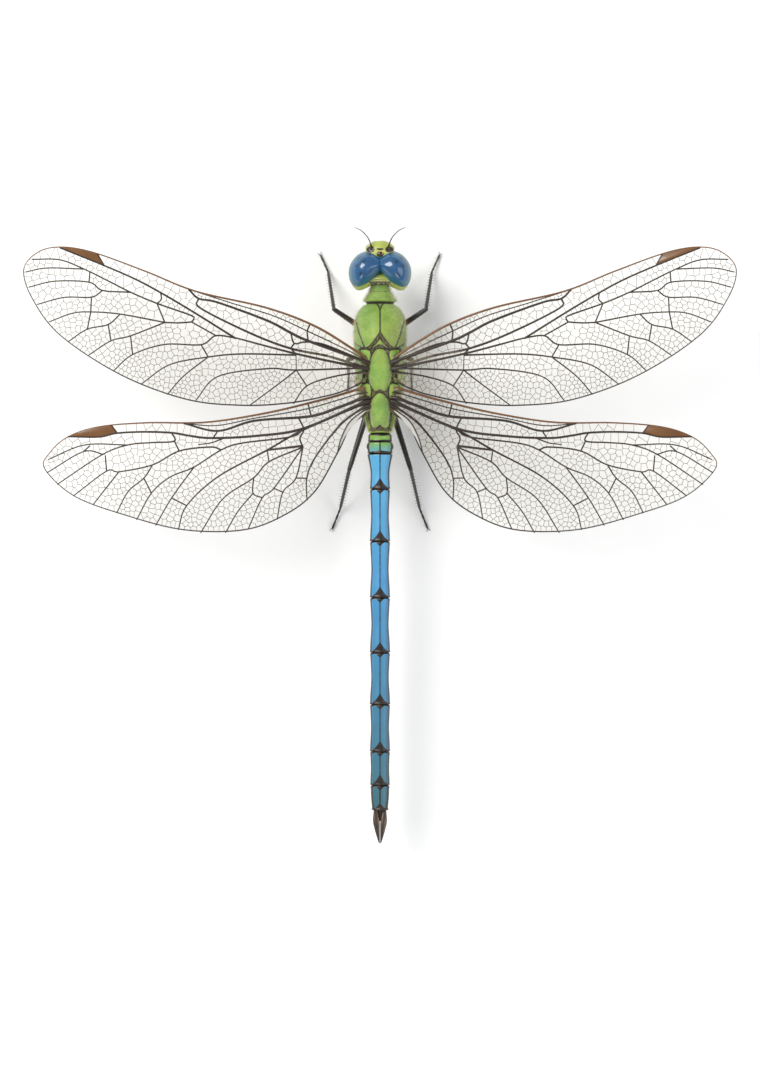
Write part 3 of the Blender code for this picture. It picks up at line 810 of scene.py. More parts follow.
# %% [markdown]
# ## Markings
#
# A dragonfly's pattern has clean edges, as if it were inlaid. Each corner of a skin stores how many
# millimetres it lies inside a mark, below zero outside, and the finish turns that into a crisp edge. This
# stays sharp on a coarser mesh than painted colours would, and it needs no picture. Two node groups
# do the work for all the finishes: one makes the edge, and one makes the grain of the shell.


# %% Group helpers
def new_group(name, inputs, outputs):
    """A node group whose sockets are all plain numbers, and its two end nodes."""
    tree = bpy.data.node_groups.new(name, "ShaderNodeTree")
    for label, value in inputs.items():
        tree.interface.new_socket(name=label, in_out="INPUT", socket_type="NodeSocketFloat").default_value = value
    for label in outputs:
        tree.interface.new_socket(name=label, in_out="OUTPUT", socket_type="NodeSocketFloat")
    return tree, tree.nodes.new("NodeGroupInput").outputs, tree.nodes.new("NodeGroupOutput")


def math_of(tree, operation, *values):
    """One step of arithmetic."""
    return wire(tree, "Math", dict(enumerate(values)), operation=operation).outputs[0]


# %% Edge of a mark
def mark_edge_group():
    """Turns a distance in millimetres into a mask with a slightly wavering edge."""
    tree, given, result = new_group("mark_edge", {"Distance": 0, "Softness": 0.03, "Waver": 0.06}, ["Mask"])
    waver = math_of(tree, "MULTIPLY", math_of(tree, "SUBTRACT", clouds(tree, 1500.0), 0.5), given["Waver"])
    moved = math_of(tree, "ADD", given["Distance"], waver)
    low = math_of(tree, "MULTIPLY", given["Softness"], -1.0)
    feeds = {"Value": moved, "From Min": low, "From Max": given["Softness"]}
    mask = wire(tree, "MapRange", feeds, interpolation_type="SMOOTHSTEP")
    feed(result, {"Mask": mask.outputs["Result"]})
    return tree


MARK_EDGE = mark_edge_group()


# %% Grain of the shell
def shell_grain_group():
    """Mottle for colour, and a height of fine pits and wrinkles."""
    tree, given, result = new_group("shell_grain", {"Mottle scale": 500, "Pit scale": 5000}, ["Mottle", "Height"])
    where, pit_scale = wire(tree, "TexCoord").outputs["Object"], given["Pit scale"]
    cloud = wire(tree, "TexNoise", {"Vector": where, "Scale": given["Mottle scale"], "Detail": 4.0})
    pits = wire(tree, "TexVoronoi", {"Vector": where, "Scale": pit_scale})
    fine = wire(tree, "TexNoise", {"Vector": where, "Scale": pit_scale, "Detail": 2.0})
    height = math_of(tree, "ADD", pits.outputs["Distance"], fine.outputs["Fac"])
    feed(result, {"Mottle": cloud.outputs["Fac"], "Height": height})
    return tree


SHELL_GRAIN = shell_grain_group()
print("node groups:", MARK_EDGE.name, SHELL_GRAIN.name)


# %% Short cuts for finishes
COLOUR_A, COLOUR_B, COLOUR_OUT = 6, 7, 2  # the places of the colour sockets on a Mix node


def mask_of(tree, layer, softness=0.03, waver=0.06, shift=0.0, below=False):
    """A mask from a stored distance: 1 where it is above shift, or below it."""
    moved = math_of(tree, "SUBTRACT", wire(tree, "Attribute", attribute_name=layer).outputs["Fac"], shift)
    if below:
        moved = math_of(tree, "MULTIPLY", moved, -1.0)
    feeds = {"Distance": moved, "Softness": softness, "Waver": waver}
    return wire(tree, "Group", feeds, node_tree=MARK_EDGE).outputs["Mask"]


def blend(tree, mask, low, high, blend_type="MIX"):
    """Mixes two colours by a mask. Each is a plain colour or a socket."""
    made = wire(tree, "Mix", {"Factor": mask}, data_type="RGBA", blend_type=blend_type)
    for place, colour in ((COLOUR_A, low), (COLOUR_B, high)):
        feed(made, {place: colour if isinstance(colour, bpy.types.NodeSocket) else (*colour, 1)})
    return made.outputs[COLOUR_OUT]


def along(tree, axis, low, high):
    """0 to 1 between two places in millimetres along an axis of the whole model."""
    parts = wire(tree, "SeparateXYZ", {"Vector": wire(tree, "TexCoord").outputs["Object"]})
    feeds = {"Value": parts.outputs[axis], "From Min": low * MM, "From Max": high * MM}
    return wire(tree, "MapRange", feeds).outputs["Result"]


def grained(tree, shader, mottle=500.0, pits=5000.0, strength=0.25, depth=0.02):
    """Adds the shell's grain to a finish as bumps, and gives its mottle."""
    grain = wire(tree, "Group", {"Mottle scale": mottle, "Pit scale": pits}, node_tree=SHELL_GRAIN).outputs
    bump = wire(tree, "Bump", {"Height": grain["Height"], "Strength": strength, "Distance": depth * MM})
    feed(shader, {"Normal": bump.outputs["Normal"]})
    return grain["Mottle"]


# %% [markdown]
# ## The abdomen
#
# The long tail is ten rings, each tucked into the one before like the tubes of a telescope. The rear rim
# of each ring flares a little, and a thin fold lies behind it. The back carries two sky-blue panels on each
# ring, parted by a fine black line, over a black ground. The panels end in a hollow curve before the joint.

# %% Abdomen relief
RINGS = [f"abdomen_{number:02}" for number in range(1, 11)]
JOINTS = np.array([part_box(ring)[1].y / MM for ring in RINGS] + [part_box(RINGS[-1])[0].y / MM])
NEAR_JOINT = np.array([0.005, 0.03, 0.07, 0.12, 0.18, 0.26, 0.36])  # rows of corners behind a joint
BEFORE_JOINT = np.array([0.005, 0.02, 0.05, 0.1, 0.16, 0.24, 0.34])
abdomen_girth = girth([row for ring in RINGS[::-1] for row in rings(ring)[2:5]])


def ring_place(y):
    """Which ring each y is in, and how far it is behind the ring's front and before its rear."""
    ring = np.clip(np.searchsorted(-JOINTS, -y, side="right") - 1, 0, 9)
    return ring, JOINTS[ring] - y, y - JOINTS[ring + 1]


def abdomen_rows():
    """Close rows of corners at each joint, and even ones between. The first are tucked into the thorax."""
    rows = list(np.linspace(JOINTS[0] + 0.5, JOINTS[0] + 0.05, 5))
    for front, rear in zip(JOINTS, JOINTS[1:]):
        body = np.linspace(front - 0.5, rear + 0.45, max(4, round((front - rear) / 0.17)))
        rows += [*(front - NEAR_JOINT), *body, *(rear + BEFORE_JOINT[::-1])]
    return np.array(rows[::-1])


def abdomen_relief(x, y, z, rise):
    """Rims, folds and keels of the rings, in millimetres."""
    ring, behind, before = ring_place(y)
    relief = 0.07 * bump_line(before - 0.14, 0.14) + 0.035 * bump_line(behind - 0.42, 0.16)
    relief -= 0.2 * bump_line(behind, 0.12)
    relief += np.where(rise > 0, 0.05, 0) * bump_line(x, 0.07)
    relief += 0.05 * bump_line(rise + 0.42, 0.07) - 0.14 * bump_line(rise + 0.62, 0.12)
    relief += 0.02 * bump_line(behind - 0.33 * (behind + before), 0.06) * (ring > 1)
    ears = bump_line(y - 14.35, 0.45) * bump_line(rise - 0.1, 0.22)
    return relief + 0.14 * ears - 0.3 * np.clip(-behind / 0.15, 0, 1)


# %% Abdomen marks
def blue_panels(x, y, z):
    """How far inside a blue panel of the back each point lies, in millimetres."""
    ring, behind, before = ring_place(y)
    half, low, high = abdomen_girth(y)
    out = np.abs(x) / half
    front = 0.2 + 0.7 * (1 - np.minimum(out / 0.5, 1)) ** 1.5 + 0.3 * (np.maximum(out - 0.5, 0) / 0.5) ** 2
    rear = 1.7 * (1 - np.minimum(out, 1)) ** 1.8 + 0.12
    front = np.select([ring == 0, ring == 1, ring == 2], [0.45 - 0.25 * out**2, 0.2, 0.25], front)
    rear = np.select([ring == 0, ring == 1, ring == 9], [0.25, 0.22 + 0.2 * (1 - out), 0.6 * rear + 0.1], rear)
    side = np.where(ring == 9, 0.8 - 0.02 * behind, 0.85)
    line = np.select([ring == 0, ring == 9], [-1, 0.08], 0.055)
    panel = np.minimum.reduce([behind - front, before - rear, (side - out) * half, (out - line) * half])
    return np.where(z > (low + high) / 2, panel, -0.5)


def side_spots(x, y, z):
    """How far inside a dull spot low on the flank each point lies."""
    ring, behind, before = ring_place(y)
    half, low, high = abdomen_girth(y)
    level, length = (z - low) / (high - low), behind + before
    spot = np.minimum((level - 0.22) * half * 1.4, (0.44 - 0.14 * behind / length - level) * half * 1.4)
    return np.minimum.reduce([spot, behind - 0.35, 0.62 * length - behind, 7.5 - ring])


# %% Abdomen finish
abdomen_shell, tree, shader = new_finish("abdomen_shell", Specular_IOR_Level=0.4, Coat_Weight=0.12, Coat_Roughness=0.25)
mottle = grained(tree, shader, mottle=700.0, pits=6500.0, strength=0.3)
sky = ramp(
    tree, along(tree, "Y", -44, 17),
    (0.0, (0.045, 0.15, 0.2)), (0.25, (0.05, 0.2, 0.33)), (0.6, (0.06, 0.27, 0.52)),
    (0.93, (0.09, 0.36, 0.6)), (0.965, (0.16, 0.34, 0.12)), (1.0, (0.2, 0.36, 0.07)),
)
sky = blend(tree, mottle, sky, (0.01, 0.05, 0.1), "SUBTRACT")
dark = ramp(tree, mottle, (0.3, (0.006, 0.005, 0.004)), (0.75, (0.03, 0.017, 0.01)))
dull = ramp(tree, mottle, (0.3, (0.1, 0.15, 0.13)), (0.7, (0.17, 0.2, 0.13)))
colour = blend(tree, mask_of(tree, "flank", 0.06, 0.2), dark, dull)
colour = blend(tree, mask_of(tree, "panel", 0.03, 0.1), colour, sky)
gloss = wire(tree, "MapRange", {"Value": mottle, "To Min": 0.28, "To Max": 0.5})
feed(shader, {"Base Color": colour, "Roughness": gloss.outputs["Result"]})

# %% Abdomen piece
bm, _ = skin(abdomen_rows(), oval_section(abdomen_girth, 2.1, 0.465), abdomen_relief, columns=88)
paint(bm, panel=blue_panels, flank=side_spots)
add_piece("abdomen_skin", bm, [abdomen_shell], RINGS, smooth=70)

# %% [markdown]
# ## The thorax
#
# This box holds the flight muscles. Two large shields make its front, parted by a keel. Behind them a low
# V-shaped crest guards the wing roots, and between the wings lie domed plates in a sunken floor: a long one
# for each pair of wings, and small ones at the hinges. Slanting seams divide the flanks. All of it is
# one skin, and the plates are drawn as closed outlines seen from above, for the right half only.

# %% Thorax plates
BACK_PLATES = (
    ((0, 31.75), (0.4, 31.15), (0.85, 30.6), (1.3, 30.2), (1.3, 29.8), (0.95, 30.05), (0.45, 30.4), (0, 30.5)),
    ((0, 30.05), (0.75, 29.8), (1.3, 28.9), (1.75, 27.6), (1.98, 26.1), (1.75, 24.6), (1.2, 23.5), (0.7, 23.05),
     (0, 23.35)),
    ((0, 23.0), (0.6, 22.75), (1.15, 22.2), (1.5, 21.6), (1.8, 20.5), (1.7, 19.2), (1.45, 17.6), (0.6, 17.25),
     (0, 17.7)),
    ((1.55, 29.75), (2.4, 29.95), (3.2, 29.75), (2.95, 28.6), (2.75, 27.6), (2.2, 26.9), (1.8, 27.6), (1.4, 28.8),
     (1.55, 29.75)),
    ((2.15, 26.7), (2.75, 27.0), (2.5, 25.6), (2.9, 24.6), (2.2, 24.6), (2.05, 25.6), (2.15, 26.7)),
    ((1.5, 24.3), (2.3, 24.55), (3.1, 23.9), (2.85, 22.6), (2.6, 21.6), (2.15, 21.0), (1.65, 21.7), (1.35, 23.0),
     (1.5, 24.3)),
    ((2.0, 20.7), (2.5, 20.9), (2.3, 19.4), (1.95, 17.6), (1.8, 18.6), (1.9, 19.8), (2.0, 20.7)),
)

# %% Thorax seams
CREST = ((0, 32.6), (0.5, 31.8), (1.1, 31.0), (1.6, 30.45), (2.2, 30.1), (2.8, 30.15), (3.35, 29.9))
KEEL_ENDS = (32.6, 36.2)
COLLAR = ((0, 36.2), (0.3, 37.0), (0.75, 37.4), (1.3, 37.45))
SHIELD_SIDE = ((2.45, 30.2), (3.0, 31.6), (3.5, 33.2), (3.95, 34.9))  # the seam that bounds a shield
FLANK_SEAMS = (  # y and z, seen from the side
    ((29.9, 15.3), (31.2, 11.5), (32.6, 8.4), (33.4, 5.5)),
    ((26.9, 14.6), (27.7, 12.2), (28.6, 9.0), (29.6, 5.4)),
    ((22.6, 14.2), (23.4, 11.5), (24.6, 8.6), (26.2, 5.4)),
)
BREATHING_HOLE = (26.6, 9.9)


# %% Distances to lines and plates
def to_line(points, line):
    """Distance from each flat point to a line of points."""
    line = np.array(evenly(line, 0.15))
    near = np.full(len(points), np.inf)
    for a, ab in zip(line[:-1], np.diff(line, axis=0)):
        t = np.clip(((points - a) @ ab) / (ab @ ab), 0, 1)
        near = np.minimum(near, np.linalg.norm(points - a - t[:, None] * ab, axis=1))
    return near


def into_ring(points, ring):
    """Distance to a closed outline, above zero inside it."""
    line = np.array(evenly(ring, 0.15))
    odd = np.zeros(len(points), dtype=bool)
    for a, b in zip(line, np.roll(line, -1, axis=0)):
        if a[1] != b[1]:
            crosses = (a[1] > points[:, 1]) != (b[1] > points[:, 1])
            odd ^= crosses & (points[:, 0] < a[0] + (points[:, 1] - a[1]) / (b[1] - a[1]) * (b[0] - a[0]))
    away = to_line(points, ring)
    return np.where(odd, away, -away)


def both_halves(ring):
    """An outline that starts on the middle line goes on over the other half."""
    return (*ring, *((-across, along) for across, along in ring[-2::-1])) if ring[0][0] == 0 else ring


def folded(x, y):
    """Flat points with the left half laid over the right one."""
    return np.column_stack((np.abs(x), y))


def plates_at(x, y):
    """How far inside the nearest back plate each point lies."""
    return np.maximum.reduce([into_ring(folded(x, y), both_halves(ring)) for ring in BACK_PLATES])


# %% Distances to the seams
FAR = 9.0  # stands for no seam near


def seams_at(x, y, z, rise):
    """Distance to the nearest seam or keel, above and on the flank."""
    flat, flank = folded(x, y), np.column_stack((y, z))
    keel = np.hypot(x, np.maximum(0, np.maximum(KEEL_ENDS[0] - y, y - KEEL_ENDS[1])))
    side_line = to_line(flat, SHIELD_SIDE)
    above = np.minimum.reduce([to_line(flat, CREST), to_line(flat, COLLAR), side_line, keel])
    hole = np.abs(np.hypot((y - BREATHING_HOLE[0]) / 0.6, z - BREATHING_HOLE[1]) - 0.6) * 0.8
    beside = np.minimum.reduce([hole, *(to_line(flank, seam) for seam in FLANK_SEAMS)])
    above = np.where(rise > 0.45, above, np.where(rise > 0.1, side_line, FAR))
    return above, np.where(rise < 0.85, beside, FAR)


# %% Thorax relief
UP = 0.3  # what rises above this on the section is the back
WELL = both_halves(((0, 32.2), (1.2, 30.6), (1.8, 30.1), (3.0, 29.7), (2.9, 26.0), (2.6, 21.0), (2.0, 17.2), (0, 16.9)))
WELL_DEPTH = 0.5
thorax_rings = rings("thorax")
thorax_girth = girth(thorax_rings)


def thorax_section(turn, y):
    x, z, rise = oval(turn, *thorax_girth(y), power=2.4)
    return x * (1 - 0.3 * np.maximum(rise, 0) ** 2), z, rise


def thorax_relief(x, y, z, rise):
    """Plates, seams, keel and crest, in millimetres."""
    flat, across, up = folded(x, y), np.abs(x), rise > UP
    well = np.clip(into_ring(flat, WELL) / 0.35, 0, 1)
    relief = np.where(up, -WELL_DEPTH * well * well * (3 - 2 * well), 0)
    plate = plates_at(x, y)
    inner = np.maximum(plate, 0)
    dome = 0.42 * (1 - np.exp(-inner / 0.3)) + 0.12 * (1 - np.exp(-inner / 0.6))
    relief += np.where(up & (plate > 0), dome, 0)
    keel = np.where((y > KEEL_ENDS[0]) & (y < KEEL_ENDS[1] + 0.2), across, FAR)
    relief += np.where(up, 0.2 * bump_line(to_line(flat, CREST), 0.14) + 0.12 * bump_line(keel, 0.09), 0)
    relief -= 0.1 * bump_line(to_line(flat, SHIELD_SIDE), 0.12) * up
    relief -= 0.12 * bump_line(seams_at(x, y, z, rise)[1], 0.13)
    shields = np.clip((y - 31.5) / 1.5, 0, 1) * np.clip(across / 1.2, 0, 1) * np.clip((3.9 - across) / 1.2, 0, 1)
    return relief + np.where(up, 0.15 * shields, 0)


# %% Thorax finish
thorax_shell, tree, shader = new_finish("thorax_shell", Roughness=0.5, Specular_IOR_Level=0.4, Sheen_Weight=0.15)
mottle = grained(tree, shader, mottle=450.0, pits=3800.0, strength=0.35, depth=0.03)
green = ramp(tree, mottle, (0.25, (0.11, 0.23, 0.035)), (0.55, (0.18, 0.33, 0.05)), (0.8, (0.28, 0.41, 0.08)))
patchy = wire(tree, "MapRange", {"Value": clouds(tree, 140.0), "From Min": 0.4, "From Max": 0.68, "To Max": 0.5})
green = blend(tree, patchy.outputs["Result"], green, (0.3, 0.36, 0.045))
belly = ramp(tree, mottle, (0.3, (0.22, 0.18, 0.07)), (0.7, (0.36, 0.3, 0.13)))
green = blend(tree, along(tree, "Z", 8.4, 6.2), green, belly)
floor_brown = ramp(tree, mottle, (0.3, (0.06, 0.05, 0.018)), (0.7, (0.13, 0.11, 0.04)))
colour = blend(tree, mask_of(tree, "plate", 0.05, 0.1), floor_brown, green)
seam_brown = ramp(tree, mottle, (0.3, (0.012, 0.008, 0.004)), (0.8, (0.045, 0.026, 0.01)))
colour = blend(tree, mask_of(tree, "seam", 0.03, 0.05, shift=0.13, below=True), colour, seam_brown)
feed(shader, {"Base Color": colour})

# %% Thorax piece
THORAX_ROWS, THORAX_COLUMNS = 190, 230


def rise_of(y, z):
    half, low, high = thorax_girth(y)
    return np.clip(2 * (z - low) / (high - low) - 1, -1, 1)


def inside_plate(x, y, z):
    """Above zero on green shell, below it on the sunken floor between the wings."""
    floor_part = np.where(rise_of(y, z) > UP, into_ring(folded(x, y), WELL), -1)
    return np.where(floor_part > 0, plates_at(x, y), -floor_part)


def to_seam(x, y, z):
    rise = rise_of(y, z)
    return np.minimum.reduce([*seams_at(x, y, z, rise), np.where(rise > UP, np.abs(plates_at(x, y)), FAR)])


bm, thorax_place = skin(
    np.linspace(thorax_rings[0][0], thorax_rings[-1][0], THORAX_ROWS), thorax_section, thorax_relief, THORAX_COLUMNS
)
paint(bm, plate=inside_plate, seam=to_seam)
add_piece("thorax_skin", bm, [thorax_shell], ["thorax"], smooth=70)

# %% [markdown]
# ## The neck shield
#
# The head sits on a thin neck so that it can turn. A small saddle of three lobes covers the neck, and the
# front legs hang from it. It flares to two corners where it meets the thorax.

# %% Neck piece
NECK_ROWS = (
    (37.3, 2.1, 9.2, 13.2), (37.85, 2.5, 9.0, 13.45), (38.25, 2.32, 9.15, 13.4), (38.75, 2.0, 9.4, 13.1),
    (39.4, 1.66, 9.9, 12.85), (40.2, 1.42, 10.2, 12.75), (41.0, 1.5, 10.3, 12.8),
)


def neck_relief(x, y, z, rise):
    lobes = 0.05 * bump_line(y - 39.7, 0.3) + 0.06 * bump_line(y - 38.75, 0.35) + 0.08 * bump_line(y - 37.9, 0.2)
    return lobes - 0.06 * bump_line(y - 39.25, 0.1) - 0.05 * bump_line(y - 38.3, 0.1)


def to_fold(x, y, z):
    return np.minimum.reduce([np.abs(y - 39.25) + 0.07, np.abs(y - 38.3) + 0.09, y - 37.55, 40.4 - y]) + 0.02


bm, neck_place = skin(
    np.linspace(NECK_ROWS[0][0], NECK_ROWS[-1][0], 50), oval_section(girth(NECK_ROWS), 2.2), neck_relief, columns=72
)
paint(bm, plate=1.0, seam=to_fold)
add_piece("neck_shield", bm, [thorax_shell], ["prothorax"])

# %% [markdown]
# ## The eyes
#
# Two great eyes cover most of the head and meet along a seam. Each is thousands of tiny lenses, so up close
# the surface is a fine mosaic under a hard gloss, and from afar it is smooth. The upper lenses are
# larger and bluer, for looking at the sky, and the lower ones are smaller and olive. An eye is a dome over
# and under its widest outline, and it is cut flat where the two meet.

# %% Eye shapes
EYE_OUTLINE = (  # the right eye seen from above, running past the middle, where it is cut
    (2.0, 45.82), (3.3, 45.37), (4.2, 44.57), (4.85, 43.47), (5.04, 42.15), (4.77, 40.9), (4.16, 40.1), (3.4, 39.9),
    (2.5, 40.2), (1.5, 40.8), (0.7, 41.5), (0.0, 42.2), (-0.7, 42.8), (-1.2, 43.65), (-0.8, 44.55), (0.1, 45.27),
    (0.9, 45.72),
)
EYE_CENTRE, EYE_HALF_HEIGHT = (2.35, 42.86, 12.2), 3.76
SEAM_GAP = 0.02


def outline_reach():
    """Gives a function for how far the eye's outline lies from its centre in each direction."""
    steps = 40
    knots = (*EYE_OUTLINE[-3:], *EYE_OUTLINE, *EYE_OUTLINE[:3])
    line = np.array(through(knots, steps * (len(knots) - 1)))[steps:-steps] - EYE_CENTRE[:2]
    turn, reach = np.arctan2(line[:, 1], line[:, 0]), np.hypot(*line.T)
    return lambda angle: np.interp(angle, turn, reach, period=2 * math.pi)


eye_reach = outline_reach()


def cut_eye(side, gap, scale=1.0, shift=(0, 0, 0), half_height=EYE_HALF_HEIGHT, columns=132, rows=88):
    """An eye, or a smaller copy of it that is moved aside, cut off near the middle of the head."""
    bm = bmesh.new()

    def place(u, v):
        turn, climb = 2 * math.pi * u, math.pi * (v - 0.5)
        reach = scale * eye_reach(turn) * np.cos(climb)
        x, y = reach * np.cos(turn) + EYE_CENTRE[0] + shift[0], reach * np.sin(turn) + EYE_CENTRE[1] + shift[1]
        return np.column_stack((side * x, y, EYE_CENTRE[2] + shift[2] + half_height * np.sin(climb)))

    warped_grid(bm, columns, rows, place)
    face_out(bm)
    bmesh.ops.bisect_plane(
        bm, geom=bm.verts[:] + bm.edges[:] + bm.faces[:], plane_co=(side * gap, 0, 0), plane_no=(-side, 0, 0),
        clear_outer=True,
    )
    bmesh.ops.holes_fill(bm, edges=[edge for edge in bm.edges if edge.is_boundary], sides=0)
    face_out(bm)
    return bm


# %% Eye finish
eye_lens, tree, shader = new_finish("eye_lens", Roughness=0.3, Coat_Roughness=0.07, Specular_IOR_Level=0.3)
where = wire(tree, "TexCoord").outputs["Object"]
lenses = wire(tree, "TexVoronoi", {"Vector": where, "Scale": 16000.0, "Randomness": 0.35}).outputs["Distance"]
waver = math_of(tree, "MULTIPLY_ADD", clouds(tree, 350.0, 3.0), 0.22, -0.11)
colour = ramp(
    tree, math_of(tree, "ADD", along(tree, "Z", 8.6, 15.9), waver),
    (0.0, (0.24, 0.22, 0.06)), (0.3, (0.15, 0.21, 0.05)), (0.48, (0.04, 0.19, 0.12)),
    (0.66, (0.012, 0.15, 0.2)), (0.85, (0.012, 0.11, 0.25)), (1.0, (0.02, 0.09, 0.22)),
)
lens_edge = wire(tree, "MapRange", {"Value": lenses, "From Min": 0.3, "From Max": 0.75, "To Max": 0.45})
colour = blend(tree, lens_edge.outputs["Result"], colour, (0.004, 0.015, 0.025))
# Painted shade: the pseudopupil dots darken the eye's colour in fixed places.
pupil_shade_mask = math_of(tree, "MULTIPLY", mask_of(tree, "pupil", 0.3, 0.2), 0.75)
colour = blend(tree, pupil_shade_mask, colour, (0.004, 0.012, 0.018))
bump = wire(tree, "Bump", {"Height": lenses, "Strength": 0.2, "Distance": 0.015 * MM}, invert=True)
facing = wire(tree, "LayerWeight", {"Blend": 0.5}).outputs["Facing"]
gloss = wire(tree, "MapRange", {"Value": facing, "From Min": 0.35, "From Max": 0.9, "To Min": 0.9, "To Max": 0.05})
feed(shader, {"Base Color": colour, "Normal": bump.outputs["Normal"], "Coat Weight": gloss.outputs["Result"]})

# %% Face finish
face_shell, tree, shader = new_finish("face_shell", Roughness=0.38, Coat_Weight=0.35, Coat_Roughness=0.2)
mottle = grained(tree, shader, mottle=600.0, pits=5200.0, strength=0.3)
lime = ramp(tree, mottle, (0.25, (0.3, 0.36, 0.06)), (0.55, (0.42, 0.46, 0.1)), (0.8, (0.52, 0.52, 0.16)))
dark = ramp(tree, mottle, (0.3, (0.01, 0.007, 0.005)), (0.8, (0.05, 0.028, 0.012)))
cream = ramp(tree, mottle, (0.3, (0.44, 0.42, 0.1)), (0.75, (0.56, 0.5, 0.17)))
leaf = ramp(tree, mottle, (0.3, (0.24, 0.33, 0.06)), (0.75, (0.38, 0.44, 0.11)))
colour = blend(tree, mask_of(tree, "clypeus", 0.25, 0.1, shift=0.15), lime, leaf)
colour = blend(tree, mask_of(tree, "lip", 0.08, 0.1), colour, cream)
colour = blend(tree, mask_of(tree, "dark", 0.04, 0.08), colour, dark)
feed(shader, {"Base Color": colour})

# %% Eye pieces
# Where the painted pseudopupil shade sits on each eye, as shares of the eye's reach and height.
PSEUDOPUPIL_SHADE_AT = ((0.1, 0.35, 0.92), (0.55, 0.15, 0.8), (-0.15, 0.72, 0.66), (0.42, 0.62, 0.64), (0.2, -0.3, 0.92))
for side, name in RIGHT_AND_LEFT:
    def pupil_dots(x, y, z):
        """Soft dark dots: painted shade of the pseudopupil, the dark patch that on a real eye moves with whoever looks
        at it.
        """
        across, ahead = side * x - EYE_CENTRE[0], y - EYE_CENTRE[1]
        reach = eye_reach(np.arctan2(ahead, across))
        spot = np.column_stack((across / reach, ahead / reach, (z - EYE_CENTRE[2]) / EYE_HALF_HEIGHT))
        return (0.1 - np.minimum.reduce([np.linalg.norm(spot - np.array(dot), axis=1) for dot in PSEUDOPUPIL_SHADE_AT])) * 3

    bm = cut_eye(side, SEAM_GAP)
    paint(bm, pupil=pupil_dots)
    add_piece(f"eye_lenses_{name}", bm, [eye_lens], [f"eye_{name}"])

# %% [markdown]
# ## The head behind and before the eyes
#
# Little of the head's own shell shows. Behind the eyes there is a rim on each side and a bright triangle in
# the middle. In front, the frons juts like a brow over the clypeus, the upper lip and the jaws. Between the
# frons and the seam sits a small dark knob with three simple eyes. Each part is a lofted skin, like those of
# the trunk, but standing upright.


# %% Upright skins
def upright(rows, relief, columns, count, power=2.6):
    """A closed skin whose sections lie flat. Each row gives z, half width, rearmost and foremost y."""
    levels = np.linspace(rows[0][0], rows[-1][0], count)
    bm, lying = skin(levels, oval_section(girth(rows), power), relief, columns)
    for vert in bm.verts:
        vert.co.y, vert.co.z = vert.co.z, vert.co.y
    bmesh.ops.reverse_faces(bm, faces=bm.faces)
    return bm, lambda u, v: lying(u, v)[:, [0, 2, 1]]


# %% Face seams and sections
# The face's seams, seen from the front: each is a level at the middle, and how much it curves up to the sides.
FACE_SEAMS = {"brow": (12.0, 0.07), "clypeus": (11.0, 0.03), "lip": (10.4, -0.02)}
SEAM_LINES = {"brow": 0.035, "clypeus": 0.03, "lip": 0.05}
FACE_ROWS = (
    (8.9, 0.9, 44.4, 45.9), (9.02, 1.4, 44.4, 46.2), (9.3, 1.75, 44.4, 46.45), (9.7, 1.92, 44.4, 46.6),
    (10.15, 1.9, 44.4, 46.58), (10.6, 1.82, 44.4, 46.5), (10.95, 1.95, 44.4, 46.64), (11.35, 2.15, 44.4, 46.92),
    (11.8, 2.22, 44.4, 47.02), (12.4, 2.24, 44.4, 47.1), (13.0, 2.26, 44.4, 47.22), (13.45, 2.22, 44.4, 47.26),
    (13.8, 2.13, 44.4, 47.0), (14.1, 1.85, 44.5, 46.7), (14.3, 1.4, 44.7, 46.3), (14.4, 0.8, 44.8, 45.8),
)


def past_seam(seam, x, z):
    """How far above one of the face's seams each point lies."""
    level, curve = FACE_SEAMS[seam]
    return z - level - curve * x * x


# %% Face relief and dark marks
def face_relief(x, z, y, front):
    """The brow's ledge and dish, the seams, two dimples, hanging side lobes, and the notched, folded lip."""
    ledge = 0.09 * bump_line(z - 13.55, 0.3)
    dish = -0.12 * bump_line(x, 0.5) * bump_line(y - 45.6, 0.5) * (z > 13.9)
    brow, clypeus, lip = (past_seam(seam, x, z) for seam in FACE_SEAMS)
    seams = -0.11 * bump_line(brow, 0.07) - 0.1 * bump_line(clypeus + 0.05, 0.09) - 0.17 * bump_line(lip, 0.08)
    swell = 0.07 * bump_line(brow + 0.45, 0.35) + 0.06 * bump_line(lip + 0.5, 0.35)
    lobes = 0.13 * bump_line(np.abs(x) - 1.85, 0.35) * bump_line(clypeus - 0.2, 0.25)
    dimples = 0.08 * bump_line(np.abs(x) - 0.6, 0.18) * bump_line(z - 11.55, 0.16)
    pits = 0.1 * bump_line(np.abs(x) - 1.5, 0.12) * bump_line(brow, 0.2)
    lower = 0.25 * bump_line(x, 0.18) * bump_line(z - 8.9, 0.3) + 0.05 * bump_line(z - 9.35 - 0.05 * x * x, 0.1)
    return ledge * (front > 0) + dish + (seams + swell + lobes - dimples - pits - lower) * (front > -0.2)


def face_dark(x, y, z):
    """The spot on the brow's top, the sockets of the feelers, fine lines in the seams, and the lip's edge."""
    spot = np.minimum(0.3 - np.hypot(x * 0.5, (y - 45.95) * 1.3), 46.1 - y)
    sockets = 0.5 - np.hypot((np.abs(x) - 1.5) * 0.75, y - 45.9)
    top = np.where(z > 13.35, np.maximum(spot, sockets), -1)
    lines = [width - np.abs(past_seam(seam, x, z)) for seam, width in SEAM_LINES.items()]
    return np.maximum.reduce([top, *lines, 9.1 + 0.1 * x * x - z])


# %% Brow, clypeus and upper lip
bm, face_place = upright(FACE_ROWS, face_relief, columns=150, count=140, power=2.15)
paint(
    bm, dark=face_dark, lip=lambda x, y, z: -past_seam("lip", x, z),
    clypeus=lambda x, y, z: np.minimum(-past_seam("brow", x, z), past_seam("clypeus", x, z)),
)
add_piece("face_plates", bm, [face_shell], ["frons", "clypeus", "labrum"])


